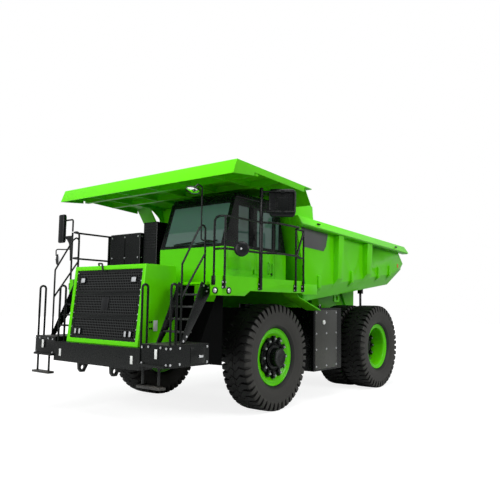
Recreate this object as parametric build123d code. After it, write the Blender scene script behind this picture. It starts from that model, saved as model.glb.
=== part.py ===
"""Rigid two-axle mining dump truck with a canopied rock body.

Millimetres. +X is the vehicle's left side, -Y is forward, +Z is up. The pieces are modelled from the
front axle's centre line at Y zero and the ground at Z zero, and moved as they are written, so that the
origin lies on the ground midway along the truck.
"""
import math
import os

from build123d import *

# Overall layout
WHEELBASE = 4318.0
FRONT_REACH = 2985.0
TAIL_REACH = 6000.0
CANOPY_HALF = 2421.0
DECK_HALF = 2130.0
SEAT_GAP = 0.3
SWING_GAP = 6.0

# Tyres and wheels
TYRE_RADIUS = 1025.0
GROOVE_DEPTH = 52.0
TYRE_HALF_WIDTH = 300.0
TREAD_HALF_WIDTH = 272.0
TYRE_SECTORS = 36
TYRE_WIDEST_RADIUS = 800.0
LUG_FOOT = 262.0
LUG_HEEL = 90.0
BEAD_RADIUS = 452.0
BEAD_HALF_WIDTH = 150.0
FRONT_TYRE_X = 1566.0
REAR_OUTER_X = 1631.0
TWIN_SPACING = 690.0
RIM_FLANGE_RADIUS = 549.0
RIM_FLANGE_HALF = 204.0
RIM_BORE = 428.0
RIM_WEB_BORE = 372.0
CLAMP_COUNT = 12
CLAMP_WIDTH = 84.0
CLAMP_OUTER = 408.0
HUB_CAP_RADIUS = 172.0
HUB_CAP_REACH = 150.0
SPINDLE_RADIUS = 95.0
AXLE_Z = TYRE_RADIUS * math.cos(math.pi / TYRE_SECTORS)

# Steering
KING_PIN_X = 1050.0
STRUT_RADIUS = 118.0
STRUT_ROD_RADIUS = 92.0
STRUT_TOP_Z = 2040.0
STRUT_LOW_Z = 1420.0
STEER_ARM = 360.0
STEER_ARM_Z = 760.0
STEER_ARM_THICK = 60.0
STEER_ROD_RADIUS = 34.0
STEER_EYE_HALF = 40.0
STEER_ROD_Z = STEER_ARM_Z + STEER_ARM_THICK + SEAT_GAP + STEER_EYE_HALF

# Frame
RAIL_X = 420.0
RAIL_HALF_WIDTH = 85.0
RAIL_FRONT_Y = -2620.0
RAIL_TOP_Z = 1700.0
CROSS_TUBE_RADIUS = 110.0
CROSS_TUBE_Y = WHEELBASE - 1668
CROSS_TUBE_Z = 1400.0

# Bumper and steps
BUMPER_FRONT_Y = -2900.0
BUMPER_DEPTH = 280.0
BUMPER_BOTTOM_Z = 950.0
BUMPER_TOP_Z = 1300.0
BEAM_HALF = 1200.0
STEP_OUTER_X = 1860.0
STEP_REAR_Y = -1985.0
STEP_BOTTOM_Z = 1030.0
STEP_TOP_Z = 1378.0
TOW_EYE_X = 450.0
TOW_EYE_HALF = 30.0
TOW_BORE = 42.0
TOW_EYE_Z = 872.0
RAIL_TUBE = 20.0
LADDER_TUBE = 17.0
LADDER_TREADS = 4

# Hood
HOOD_HALF = 996.0
HOOD_FRONT_LOW_Y = -2780.0
HOOD_FRONT_TOP_Y = -2641.0
HOOD_LOW_Z = 1300.0
HOOD_TOP_Z = 2690.0
HOOD_REAR_Y = -1938.0
HOOD_SKIN = 18.0
GRILLE_BORDER = 78.0

# Deck and cab
DECK_PANEL_Y = -1480.0
INNER_FENDER_X = 1660.0
LADDER_IN_X = 1240.0
LADDER_OUT_X = 1800.0
NOSE_IN_X = 1870.0
DECK_FRONT_Y = -2000.0
DECK_REAR_Y = 450.0
DECK_TOP_Z = 2400.0
DECK_PLATE = 40.0
SKIRT_TOP_Z = 2500.0
SKIRT_LOW_Z = 2172.0
SKIRT_STEP_Z = 2262.0
SKIRT_PLATE = 16.0
RAIL_MID_Z = 2950.0
RAIL_HIGH_Z = 3500.0
RAIL_BOW_X = 2345.0
POST_LOW_Z = 2290.0
MIRROR_TUBE = 13.0
CAB_INNER_X = 30.0
CAB_OUTER_X = 1680.0
CAB_FRONT_Y = -1445.0
CAB_REAR_Y = 480.0
CAB_SILL_Z = 3062.0
CAB_ROOF_Z = 4085.0
CAB_ROOF_FRONT_Y = -1150.0
CAB_ROOF_REAR_Y = 190.0
CAB_WALL = 45.0
DOOR_FRONT_Y = -560.0
DOOR_REAR_Y = 90.0
DOOR_LOW_Z = SKIRT_TOP_Z + 2 * SWING_GAP
DOOR_TOP_Z = 3900.0
DOOR_GAP = 6.0
HINGE_X = 1700.0
HINGE_Y = -580.0
HINGE_BARREL_R = 14.0
HINGE_PIN_R = 7.0
HINGE_HALF = 30.0
HINGE_HEIGHTS = (2640.0, 3300.0)
PANE = 8.0

# Side tanks
TANK_OUTER_X = 1780.0
TANK_FRONT_Y = 1420.0
TANK_REAR_Y = 2600.0
TANK_LOW_Z = 620.0
TANK_TOP_Z = 1975.0

# Dump body
PIVOT_Y = WHEELBASE + 1012
PIVOT_Z = 1800.0
RAIL_REAR_Y = PIVOT_Y + 190
PIVOT_PIN = 60.0
BODY_FRONT_Y = 950.0
BODY_BREAK_Y = 5100.0
BODY_SIDE_X = 1960.0
CHINE_X = 1760.0
CHINE_RISE = 290.0
FLOOR_HALF = 520.0
FLOOR_FRONT_Z = 1900.0
FLOOR_SLOPE = 0.122
TAIL_SLOPE = 0.5
FLOOR_DISH = 200.0
BODY_PLATE = 25.0
FLOOR_PLATE = 34.0
RIB_PLACES = ((BODY_FRONT_Y + 1100, 220), (BODY_FRONT_Y + 2500, 250))
STRAP_PLACES = (BODY_FRONT_Y + 350, BODY_FRONT_Y + 1800, BODY_FRONT_Y + 3200, BODY_FRONT_Y + 3850)
RAIL_START = (400.0, 3832.0)
RAIL_END = (5650.0, 3642.0)
TOP_RAIL_WIDTH = 180.0
HEAD_TOP = (260.0, 4280.0)
CANOPY_LIP_LOW = (-2106.0, 4162.0)
CANOPY_LIP_TOP = (-2007.0, 4417.0)
CANOPY_PLATE = 16.0
CANOPY_REAR_STEP = 240.0
GUSSET_X = 1800.0

# Hoist
HOIST_X = 690.0
HOIST_TYRE_GAP = 413.0
HOIST_FOOT_Y = WHEELBASE - TYRE_RADIUS - HOIST_TYRE_GAP
HOIST_FOOT_Z = 700.0
HOIST_LEAN = 470.0
HOIST_EYE_Y = HOIST_FOOT_Y + HOIST_LEAN
HOIST_EYE_Z = 1980.0
HOIST_BARREL_R = 96.0
HOIST_STAGE_R = 78.0
HOIST_ROD_R = 60.0
HOIST_EYE_HALF = 64.0
HOIST_PIN_R = 38.0

HALF_LENGTH_Y = (FRONT_REACH - TAIL_REACH) / 2


def block(x0, x1, y0, y1, z0, z1):
    """A box between two opposite corners."""
    size = (abs(x1 - x0), abs(y1 - y0), abs(z1 - z0))
    return Pos((x0 + x1) / 2, (y0 + y1) / 2, (z0 + z1) / 2) * Box(*size)


def face(points):
    """A flat face through points given in order."""
    return Face(Wire.make_polygon([Vector(*p) for p in points]))


def slab_x(outline, x0, x1):
    """A prism along X of an outline of (y, z) points."""
    return extrude(face([(x0, y, z) for y, z in outline]), amount=x1 - x0, dir=(1, 0, 0))


def slab_y(outline, y0, y1):
    """A prism along Y of an outline of (x, z) points."""
    return extrude(face([(x, y0, z) for x, z in outline]), amount=y1 - y0, dir=(0, 1, 0))


def slab_z(outline, z0, z1):
    """A prism along Z of an outline of (x, y) points."""
    return extrude(face([(x, y, z0) for x, y in outline]), amount=z1 - z0, dir=(0, 0, 1))


def slant(outline, y0, y1, slope):
    """An outline of (x, z) points at y0, carried back to y1 while it climbs by slope."""
    run = Vector(0, y1 - y0, slope * (y1 - y0))
    return extrude(face([(x, y0, z) for x, z in outline]), amount=run.length, dir=run)


def rod(start, end, radius):
    """A round bar between two points."""
    a, b = Vector(*start), Vector(*end)
    return extrude(Plane(a, z_dir=(b - a)) * Circle(radius), amount=(b - a).length)


def bar(points, radius, sides=6):
    """A tube with mitred bends along points, with a flat-sided section."""
    path = Polyline(*[Vector(*p) for p in points])
    section = Plane(path @ 0, z_dir=path % 0) * RegularPolygon(radius, sides)
    return sweep(section, path=path, transition=Transition.RIGHT)


def bore_x(y, z, radius, x0, x1):
    """A round hole or pin along X."""
    return rod((x0, y, z), (x1, y, z), radius)


def both(shape):
    """A left piece and its mirror image."""
    return [shape, shape.mirror(Plane.YZ)]


def join(shapes):
    """One solid from shapes that touch."""
    first, *rest = shapes
    return first.fuse(*rest).clean() if rest else first


def shell_ring(stations, sectors, centre_x):
    """A solid turned about the X axis, flat-sided: stations(i) gives sector i's closed (x, r) profile."""
    step = 2 * math.pi / sectors
    spin = -math.pi / 2 - step / 2
    faces = []

    def corner(point, index):
        angle = spin + index * step
        return (centre_x + point[0], point[1] * math.cos(angle), AXLE_Z + point[1] * math.sin(angle))

    for i in range(sectors):
        profile, following = stations(i), stations(i + 1)
        loop = list(zip(profile, profile[1:] + profile[:1]))
        faces += [face([corner(a, i), corner(b, i), corner(b, i + 1), corner(a, i + 1)]) for a, b in loop]
        steps = [j for j, point in enumerate(profile) if point != following[j]]
        if steps:
            faces += step_faces(profile, following, i + 1, corner)
    return Solid(Shell(faces))


def step_faces(profile, following, index, corner):
    """The flat ends of lugs, where one sector's profile stands above the next."""
    count = len(profile)
    faces = []
    j = 0
    while j < count:
        if profile[j] != following[j]:
            start = j
            while profile[j] != following[j]:
                j += 1
            outer = [profile[k] for k in range(start - 1, j + 1)]
            inner = [following[k] for k in range(start, j)]
            faces.append(face([corner(p, index) for p in outer + inner[::-1]]))
        j += 1
    return faces


def disc(x0, x1, radius, sides=TYRE_SECTORS, y=0.0, z=AXLE_Z):
    """A flat-sided disc across X whose sides line up with the wheels' own."""
    turn = 360 / sides
    points = []
    for i in range(sides):
        angle = math.radians(-90 - turn / 2 + i * turn)
        points.append((x0, y + radius * math.cos(angle), z + radius * math.sin(angle)))
    return extrude(face(points), amount=x1 - x0, dir=(1, 0, 0))


# Wheels

def tread_profile(left_lug):
    """One sector of the tyre: a lug on one shoulder and a groove on the other."""
    base = TYRE_RADIUS - GROOVE_DEPTH
    lug = [(TREAD_HALF_WIDTH, TYRE_RADIUS), (0.05 * TREAD_HALF_WIDTH, TYRE_RADIUS)]
    groove = [(LUG_FOOT, base), (LUG_HEEL, base)]
    left, right = (lug, groove) if left_lug else (groove, lug)
    bead = (BEAD_HALF_WIDTH, BEAD_RADIUS)
    wide = (TYRE_HALF_WIDTH, TYRE_WIDEST_RADIUS)
    flank = [bead, wide] + left + [(0.0, base)]
    other = [(-x, r) for x, r in reversed([bead, wide] + right)]
    return flank + other


def tyre(centre_x):
    """A rock tyre with staggered shoulder lugs."""
    return shell_ring(lambda i: tread_profile(i % 2 == 0), TYRE_SECTORS, centre_x)


def rim(centre_x, web_x=None):
    """A rim with two flanges; web_x adds the inner seat that its hub clamps to."""
    seat = BEAD_RADIUS - SEAT_GAP
    profile = [
        (RIM_FLANGE_HALF, RIM_FLANGE_RADIUS),
        (BEAD_HALF_WIDTH + SEAT_GAP, seat),
        (-BEAD_HALF_WIDTH - SEAT_GAP, seat),
        (-RIM_FLANGE_HALF, RIM_FLANGE_RADIUS),
        (-RIM_FLANGE_HALF, RIM_BORE),
    ]
    if web_x is None:
        profile.append((RIM_FLANGE_HALF, RIM_BORE))
    else:
        profile += [(web_x - 60, RIM_BORE), (web_x, RIM_WEB_BORE), (web_x + 30, RIM_WEB_BORE),
                    (web_x + 30, CLAMP_OUTER + SWING_GAP)]
    return shell_ring(lambda i: profile, TYRE_SECTORS, centre_x)


def clamps(x0, x1, inner, outer):
    """The ring of wedges that hold a rim on its hub."""
    wedge = block(x0, x1, -CLAMP_WIDTH / 2, CLAMP_WIDTH / 2, AXLE_Z + inner, AXLE_Z + outer)
    axis = Axis((0, 0, AXLE_Z), (1, 0, 0))
    return [wedge.rotate(axis, (i + 0.5) * 360 / CLAMP_COUNT) for i in range(CLAMP_COUNT)]


def front_hub():
    """The left front hub: a seat ring with wedges, a cap and a blind bearing bore."""
    web_x = FRONT_TYRE_X + 120
    seat = RIM_WEB_BORE - SEAT_GAP
    body = disc(FRONT_TYRE_X - 60, web_x + 55, seat)
    cap = disc(web_x + 55, web_x + 55 + HUB_CAP_REACH, HUB_CAP_RADIUS, 18)
    neck = disc(FRONT_TYRE_X - 230, FRONT_TYRE_X - 60, 210, 18)
    wedges = clamps(web_x + 30 + SEAT_GAP, web_x + 62, seat - 60, CLAMP_OUTER)
    bore = bore_x(0, AXLE_Z, SPINDLE_RADIUS + SEAT_GAP, FRONT_TYRE_X - 240, FRONT_TYRE_X + 60)
    return join([body, cap, neck] + wedges) - bore


def rear_hub():
    """The left rear hub: one drum through both rims, with wedges deep in the outer rim."""
    inner = REAR_OUTER_X - TWIN_SPACING - RIM_FLANGE_HALF
    face_x = REAR_OUTER_X - 150
    drum = disc(inner, face_x, RIM_BORE - SEAT_GAP)
    cap = disc(face_x, face_x + 90, 215, 18)
    wedges = clamps(face_x, face_x + 38, 300, RIM_BORE - 8)
    bore = bore_x(0, AXLE_Z, SPINDLE_RADIUS + SEAT_GAP, inner - 10, REAR_OUTER_X - 450)
    return join([drum, cap] + wedges) - bore


def wheels():
    """Tyres, rims and hubs, left and right, front single and rear twin."""
    twin = (REAR_OUTER_X, REAR_OUTER_X - TWIN_SPACING)
    back = Pos(0, WHEELBASE, 0)
    left = {
        "front_tyre": [tyre(FRONT_TYRE_X)],
        "front_rim": [rim(FRONT_TYRE_X, 120)],
        "front_hub": [front_hub()],
        "rear_tyres": [back * tyre(x) for x in twin],
        "rear_rims": [back * rim(x) for x in twin],
        "rear_hub": [back * rear_hub()],
    }
    nodes = {}
    for name, shapes in left.items():
        nodes[name + "_left"] = shapes
        nodes[name + "_right"] = [shape.mirror(Plane.YZ) for shape in shapes]
    return nodes


# Running gear

def knuckle():
    """The left knuckle: strut rod, upright, spindle and steering arm."""
    upright = block(KING_PIN_X - 110, KING_PIN_X + 90, -120, 120, AXLE_Z - 260, AXLE_Z + 230)
    strut_rod = rod((KING_PIN_X, 0, AXLE_Z + 230), (KING_PIN_X, 0, STRUT_TOP_Z - 260), STRUT_ROD_RADIUS)
    spindle = bore_x(0, AXLE_Z, SPINDLE_RADIUS, KING_PIN_X + 90, FRONT_TYRE_X + 40)
    low, high = STEER_ARM_Z, STEER_ARM_Z + STEER_ARM_THICK
    arm = slab_z([
        (KING_PIN_X - 100, 60), (KING_PIN_X + 90, 60),
        (KING_PIN_X + 60, STEER_ARM), (KING_PIN_X - 60, STEER_ARM),
    ], low, high)
    eye = rod((KING_PIN_X, STEER_ARM, low), (KING_PIN_X, STEER_ARM, high), 80)
    return join([upright, strut_rod, spindle, arm, eye])


def struts():
    """Front strut barrels and rear struts."""
    barrel = rod((KING_PIN_X, 0, STRUT_LOW_Z), (KING_PIN_X, 0, STRUT_TOP_Z), STRUT_RADIUS + 26)
    sleeve = rod((KING_PIN_X, 0, STRUT_LOW_Z - 1), (KING_PIN_X, 0, STRUT_TOP_Z - 250), STRUT_ROD_RADIUS + SEAT_GAP)
    front = barrel - sleeve
    y = WHEELBASE + 440
    rear = join([rod((225, y, 1120), (225, y, 1400), 74), rod((225, y, 1400), (225, y, 1600), 98)])
    return both(front) + both(rear)


def steering_rod():
    """The through rod of the steering cylinder, with an eye over each arm."""
    z = STEER_ROD_Z
    shaft = bore_x(STEER_ARM, z, STEER_ROD_RADIUS, -KING_PIN_X, KING_PIN_X)
    eyes = [rod((x, STEER_ARM, z - STEER_EYE_HALF), (x, STEER_ARM, z + STEER_EYE_HALF), 62)
            for x in (-KING_PIN_X, KING_PIN_X)]
    return join([shaft] + eyes)


def steering_cylinder():
    """The cylinder under the frame's front cross member."""
    z = STEER_ROD_Z
    barrel = bore_x(STEER_ARM, z, 74, -330, 330)
    lug = block(-90, 90, STEER_ARM - 60, STEER_ARM + 60, z, 1080)
    return join([barrel, lug]) - bore_x(STEER_ARM, z, STEER_ROD_RADIUS + SEAT_GAP, -340, 340)


def rail_outline():
    """Side outline of a frame rail, arched over the rear axle."""
    y = WHEELBASE
    return [
        (RAIL_FRONT_Y, 1030), (RAIL_FRONT_Y, 1330), (-1900, 1500), (-900, 1560), (900, RAIL_TOP_Z),
        (RAIL_REAR_Y, RAIL_TOP_Z), (RAIL_REAR_Y, 1330), (y + 640, 1330), (y + 380, 1480), (y - 380, 1480),
        (y - 760, 1180), (-1900, 1030),
    ]


def frame():
    """Two box rails with cross members, strut towers, pivot ears, hoist feet and a rear tow plate."""
    inner, outer = RAIL_X - RAIL_HALF_WIDTH, RAIL_X + RAIL_HALF_WIDTH
    rail = slab_x(rail_outline(), inner, outer)
    ear = slab_x([
        (PIVOT_Y - 190, RAIL_TOP_Z - 200), (PIVOT_Y + 180, RAIL_TOP_Z - 200),
        (PIVOT_Y + 90, PIVOT_Z + 85), (PIVOT_Y - 90, PIVOT_Z + 85),
    ], outer - 60, outer)
    pin = bore_x(PIVOT_Y, PIVOT_Z, PIVOT_PIN, outer - 60, outer + 75)
    tower = block(outer, KING_PIN_X - STRUT_RADIUS, -200, 200, 1500, 1960)
    cheeks = [block(KING_PIN_X - 150, KING_PIN_X + 40, y0, y0 + 30, 1500, 1960)
              for y0 in (-STRUT_RADIUS - 56, STRUT_RADIUS + 26)]
    column = block(inner, outer, -200, 200, 1560, 1960)
    foot = slab_x([
        (HOIST_FOOT_Y - 120, 1190), (HOIST_FOOT_Y + 120, 1190), (HOIST_FOOT_Y + 70, HOIST_FOOT_Z - 90),
        (HOIST_FOOT_Y - 70, HOIST_FOOT_Z - 90),
    ], outer - 40, outer)
    foot_pin = join([bore_x(HOIST_FOOT_Y, HOIST_FOOT_Z, HOIST_PIN_R, outer, HOIST_X + HOIST_EYE_HALF + 12),
                     bore_x(HOIST_FOOT_Y, HOIST_FOOT_Z, 62, outer, HOIST_X - HOIST_BARREL_R - SWING_GAP)])
    side = join([rail, ear, pin, tower, column, foot, foot_pin] + cheeks)
    members = [
        block(-inner, inner, -2560, -2400, 1060, 1320),
        block(-inner, inner, STEER_ARM - 100, STEER_ARM + 100, 1080, 1400),
        bore_x(CROSS_TUBE_Y, CROSS_TUBE_Z, CROSS_TUBE_RADIUS, -inner, inner),
        block(-inner, inner, WHEELBASE + 330, WHEELBASE + 550, 1600, RAIL_TOP_Z),
        block(-inner, inner, RAIL_REAR_Y - 150, RAIL_REAR_Y, 1330, RAIL_TOP_Z),
    ]
    tow = slab_z([(-170, RAIL_REAR_Y), (170, RAIL_REAR_Y), (90, RAIL_REAR_Y + 170), (-90, RAIL_REAR_Y + 170)],
                 1380, 1440)
    tow_hole = rod((0, RAIL_REAR_Y + 95, 1370), (0, RAIL_REAR_Y + 95, 1450), TOW_BORE)
    strut_hole = rod((KING_PIN_X, 0, 1400), (KING_PIN_X, 0, 2100), STRUT_RADIUS + 26)
    return join(both(side - strut_hole) + members + [tow - tow_hole])


def engine():
    """The engine as one plain block between the rails."""
    inner = RAIL_X - RAIL_HALF_WIDTH
    return block(-inner, inner, -1750, -350, 1080, 2120)


def transmission():
    """Gearbox and drive shaft."""
    inner = RAIL_X - RAIL_HALF_WIDTH
    case = rod((0, 760, 1240), (0, 1650, 1240), 250)
    mounts = block(-inner, inner, 1080, 1260, 1180, 1300)
    shaft = rod((0, 1650, 1240), (0, WHEELBASE - 330, AXLE_Z + 40), 62)
    return join([case, mounts, shaft])


def rear_axle():
    """Axle housing with its differential bowl, end spindles and the nose that runs to the frame."""
    y = WHEELBASE
    bowl = rod((0, y - 300, AXLE_Z), (0, y + 250, AXLE_Z), 300)
    beam = bore_x(y, AXLE_Z, 165, -700, 700)
    spindles = bore_x(y, AXLE_Z, SPINDLE_RADIUS, -REAR_OUTER_X + 470, REAR_OUTER_X - 470)
    low, high = AXLE_Z - 70, AXLE_Z + 70
    arms = []
    for side in (-1, 1):
        arms.append(slab_z([(side * 400, y - 60), (side * 280, y - 60), (side * 200, CROSS_TUBE_Y - 80),
                            (side * 300, CROSS_TUBE_Y - 80)], low, high))
        arms.append(block(side * 200, side * 300, CROSS_TUBE_Y - 80, CROSS_TUBE_Y + 80, low,
                          CROSS_TUBE_Z - CROSS_TUBE_RADIUS))
    shelf = block(-330, 330, y + 130, y + 540, 1000, 1120)
    return join([bowl, beam, spindles, shelf] + arms)


# Front end

def bumper():
    """Box beam, side step boxes and the two tow eye plates."""
    back = BUMPER_FRONT_Y + BUMPER_DEPTH
    beam = block(-BEAM_HALF, BEAM_HALF, BUMPER_FRONT_Y, back, BUMPER_BOTTOM_Z, BUMPER_TOP_Z)
    step = block(BEAM_HALF, STEP_OUTER_X, BUMPER_FRONT_Y + 20, STEP_REAR_Y, STEP_BOTTOM_Z, STEP_TOP_Z)
    lip = block(BEAM_HALF + 20, STEP_OUTER_X - 60, BUMPER_FRONT_Y - 50, BUMPER_FRONT_Y + 20, STEP_BOTTOM_Z, 1070)
    eye = slab_x([
        (BUMPER_FRONT_Y + 10, BUMPER_BOTTOM_Z), (BUMPER_FRONT_Y + 20, TOW_EYE_Z - 30),
        (BUMPER_FRONT_Y + 60, TOW_EYE_Z - 82), (BUMPER_FRONT_Y + 140, TOW_EYE_Z - 82),
        (BUMPER_FRONT_Y + 230, BUMPER_BOTTOM_Z),
    ], TOW_EYE_X - TOW_EYE_HALF, TOW_EYE_X + TOW_EYE_HALF)
    hole = bore_x(BUMPER_FRONT_Y + 100, TOW_EYE_Z, TOW_BORE, TOW_EYE_X - 40, TOW_EYE_X + 40)
    return join([beam] + both(step) + both(lip) + both(eye - hole))


def access_steps():
    """Ladders, grab hoops and the hung lower rungs."""
    shapes = []
    foot, head = DECK_FRONT_Y - 600, DECK_FRONT_Y - 125
    rise = [(foot, STEP_TOP_Z), (foot + 100, STEP_TOP_Z), (head + 225, DECK_TOP_Z - 166), (head + 188, DECK_TOP_Z - 93),
            (head, DECK_TOP_Z)]
    stringers = [slab_x(rise, x, x + 20) for x in (LADDER_IN_X, LADDER_OUT_X - 20)]
    treads = []
    for i in range(1, LADDER_TREADS + 1):
        share = i / (LADDER_TREADS + 1)
        y, z = foot + 80 + share * (head - foot), STEP_TOP_Z + share * (DECK_TOP_Z - STEP_TOP_Z)
        treads.append(block(LADDER_IN_X + 20, LADDER_OUT_X - 20, y - 50, y + 90 + 60 * share, z - 30, z))
    shapes += both(join(stringers + treads + ladder_handrail(foot, head)))
    for x in (1156.0, 1830.0):
        shapes += both(hoop(x))
    shapes += both(hung_rungs())
    return shapes


def ladder_handrail(foot, head):
    """Outer handrail of a ladder, with its sloping middle rail and the short post at its head."""
    x, bend, high = LADDER_OUT_X - RAIL_TUBE, STEP_TOP_Z + 1280, DECK_TOP_Z + 960
    rail = bar([(x, foot + 25, STEP_TOP_Z), (x, foot + 25, bend), (x, head - 70, high - 70), (x, head + 20, high),
                (x, head + 80, high - 60), (x, head + 80, DECK_TOP_Z - 30)], LADDER_TUBE)
    middle = bar([(x, foot + 20, STEP_TOP_Z + 745), (x, head + 80, DECK_TOP_Z + 470)], LADDER_TUBE)
    return [rail, middle]


def hoop(x):
    """One inverted-U grab rail standing on the step box or beam."""
    foot = BUMPER_TOP_Z if x < BEAM_HALF else STEP_TOP_Z
    y0, y1, top = -2845, -2725, 2333
    points = [(x, y0, foot), (x, y0, top - 45), (x, y0 + 45, top), (x, y1 - 45, top), (x, y1, top - 45), (x, y1, foot)]
    return bar(points, RAIL_TUBE)


def hung_rungs():
    """Two hangers and a bottom tread below the step box."""
    y = BUMPER_FRONT_Y - 20
    hangers = [block(x, x + 40, y - 12, y + 12, 720, STEP_BOTTOM_Z) for x in (1290, 1660)]
    tread = block(1230, 1770, y - 65, y + 65, 700, 740)
    return join(hangers + [tread])


def lean_y(z):
    """Y of the hood's sloping front face at a height."""
    run = (HOOD_FRONT_TOP_Y - HOOD_FRONT_LOW_Y) / (HOOD_TOP_Z - HOOD_LOW_Z)
    return HOOD_FRONT_LOW_Y + (z - HOOD_LOW_Z) * run


def front_layer(x, z0, z1, near, far):
    """A slab parallel to the sloping front face, from near to far behind it."""
    return slab_x([(lean_y(z0) + near, z0), (lean_y(z1) + near, z1), (lean_y(z1) + far, z1), (lean_y(z0) + far, z0)],
                  -x, x)


def hood():
    """Hood shell, open behind and below, with the grille opening cut in its front."""
    outer = slab_x([(lean_y(HOOD_LOW_Z), HOOD_LOW_Z), (lean_y(HOOD_TOP_Z), HOOD_TOP_Z),
                    (HOOD_REAR_Y, HOOD_TOP_Z), (HOOD_REAR_Y, HOOD_LOW_Z)], -HOOD_HALF, HOOD_HALF)
    inner = slab_x([(lean_y(HOOD_LOW_Z) + 60, HOOD_LOW_Z - 1), (lean_y(HOOD_TOP_Z) + 60, HOOD_TOP_Z - HOOD_SKIN),
                    (HOOD_REAR_Y + 1, HOOD_TOP_Z - HOOD_SKIN), (HOOD_REAR_Y + 1, HOOD_LOW_Z - 1)],
                   -HOOD_HALF + HOOD_SKIN, HOOD_HALF - HOOD_SKIN)
    half = HOOD_HALF - GRILLE_BORDER
    opening = front_layer(half, HOOD_LOW_Z + GRILLE_BORDER, HOOD_TOP_Z - GRILLE_BORDER, -5, 65)
    return outer - inner - opening


def grille():
    """Three stacked bands of slots in one black panel."""
    half = HOOD_HALF - GRILLE_BORDER
    low, high = HOOD_LOW_Z + GRILLE_BORDER, HOOD_TOP_Z - GRILLE_BORDER
    panel = front_layer(half, low, high, 14, 34)
    band = (high - low) / 3
    cuts = []
    for i in range(3):
        for k in range(3):
            z = low + i * band + 70 + k * (band - 140) / 3
            cuts.append(front_layer(half - 150, z, z + (band - 140) / 3 - 45, 5, 45))
    return panel - join(cuts)


def lamps():
    """Grille lamps, lower lamp pairs and the round deck lamps."""
    shapes = []
    for x, z, w, h in ((800, 2500, 85, 52), (620, 1470, 42, 62), (760, 1470, 42, 62)):
        lamp = front_layer(w, z, z + h * 2, -22, 13.7)
        shapes += both(Pos(x, 0, 0) * lamp)
    for x, y in ((1990, DECK_FRONT_Y - 22),):
        shapes += both(rod((x, y, 2255), (x, DECK_FRONT_Y, 2255), 48))
    shapes += both(rod((DECK_HALF, -1830, 2255), (DECK_HALF + 22, -1830, 2255), 48))
    return shapes


def inner_fenders():
    """Dark panels ahead of the front wheels, from the rails up to the decks."""
    low = 960
    x0, x1 = RAIL_X + RAIL_HALF_WIDTH, INNER_FENDER_X
    wall = block(x0, x1, -1440, -1420, low, DECK_TOP_Z - DECK_PLATE)
    cheek = slab_x([(-1440, low), (-1440, DECK_TOP_Z - DECK_PLATE), (-1500, DECK_TOP_Z - DECK_PLATE),
                    (STEP_REAR_Y, STEP_TOP_Z), (STEP_REAR_Y, STEP_BOTTOM_Z)], x1 - 20, x1)
    return both(join([wall, cheek]))


# Decks

def deck(inner_x):
    """One deck: plate, skirts with a stepped lower edge, front panel and rear fender slope."""
    top, low = DECK_TOP_Z, DECK_TOP_Z - DECK_PLATE
    landing = LADDER_IN_X - SWING_GAP
    ledge = DECK_FRONT_Y + 20
    plate = slab_z([(inner_x, DECK_PANEL_Y), (landing, DECK_PANEL_Y), (landing, ledge), (NOSE_IN_X, ledge),
                    (NOSE_IN_X, DECK_FRONT_Y), (DECK_HALF, DECK_FRONT_Y), (DECK_HALF, DECK_REAR_Y),
                    (inner_x, DECK_REAR_Y)], low, top)
    skirt = slab_x([(DECK_FRONT_Y, SKIRT_TOP_Z), (DECK_FRONT_Y, SKIRT_LOW_Z), (-1400, SKIRT_LOW_Z),
                    (-1240, SKIRT_STEP_Z), (DECK_REAR_Y, SKIRT_STEP_Z), (DECK_REAR_Y, SKIRT_TOP_Z)],
                   DECK_HALF - SKIRT_PLATE, DECK_HALF)
    nose = block(NOSE_IN_X, DECK_HALF, DECK_FRONT_Y, DECK_FRONT_Y + SKIRT_PLATE, SKIRT_LOW_Z, SKIRT_TOP_Z)
    return_plate = block(NOSE_IN_X, NOSE_IN_X + SKIRT_PLATE, DECK_FRONT_Y, DECK_PANEL_Y, SKIRT_LOW_Z, top)
    panel = block(1010, INNER_FENDER_X - 20, DECK_PANEL_Y, DECK_PANEL_Y + SKIRT_PLATE, 2070, low)
    slope = slab_x([(DECK_REAR_Y - 50, low), (DECK_REAR_Y, low), (DECK_REAR_Y + 60, 2200), (1340, 1935),
                    (1340, 1915), (DECK_REAR_Y + 50, 2178), (DECK_REAR_Y - 50, 2270)], 1640, 1990)
    return join([plate, skirt, nose, return_plate, panel, slope])


def deck_left():
    """Left deck, which carries the cab."""
    return deck(CAB_INNER_X)


def deck_right():
    """Right deck with the cover over the engine."""
    right = deck(-CAB_INNER_X).mirror(Plane.YZ)
    cowl = block(-HOOD_HALF, HOOD_HALF, HOOD_REAR_Y + 5, DECK_PANEL_Y, DECK_TOP_Z - DECK_PLATE, DECK_TOP_Z)
    return join([right, cowl])


def deck_rails(side):
    """Edge rails of one deck: posts on the skirt, a top rail that bows out beside the door, and a middle rail."""
    x = DECK_HALF + RAIL_TUBE
    front, rear = DECK_FRONT_Y + 40, DECK_REAR_Y - 30
    post_top = RAIL_HIGH_Z + RAIL_TUBE
    stops = [(x, front), (x, -980), (RAIL_BOW_X, -760), (RAIL_BOW_X, -40), (x, 150), (x, rear)]
    shapes = []
    for z in (RAIL_MID_Z, RAIL_HIGH_Z):
        shapes.append(bar([(px, py, z) for px, py in stops], RAIL_TUBE))
    corner = bar([(NOSE_IN_X + 40, front, DECK_TOP_Z), (NOSE_IN_X + 40, front, RAIL_HIGH_Z - 90),
                  (NOSE_IN_X + 130, front, RAIL_HIGH_Z), (x, front, RAIL_HIGH_Z)], RAIL_TUBE)
    shapes += [corner, bar([(NOSE_IN_X + 40, front, RAIL_MID_Z), (x, front, RAIL_MID_Z)], RAIL_TUBE)]
    for py in (front, -1500, -980, 150, rear):
        shapes.append(block(DECK_HALF, x + RAIL_TUBE, py - RAIL_TUBE, py + RAIL_TUBE, POST_LOW_Z, post_top))
    rails = join(shapes)
    return rails if side == "left" else rails.mirror(Plane.YZ)


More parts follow.
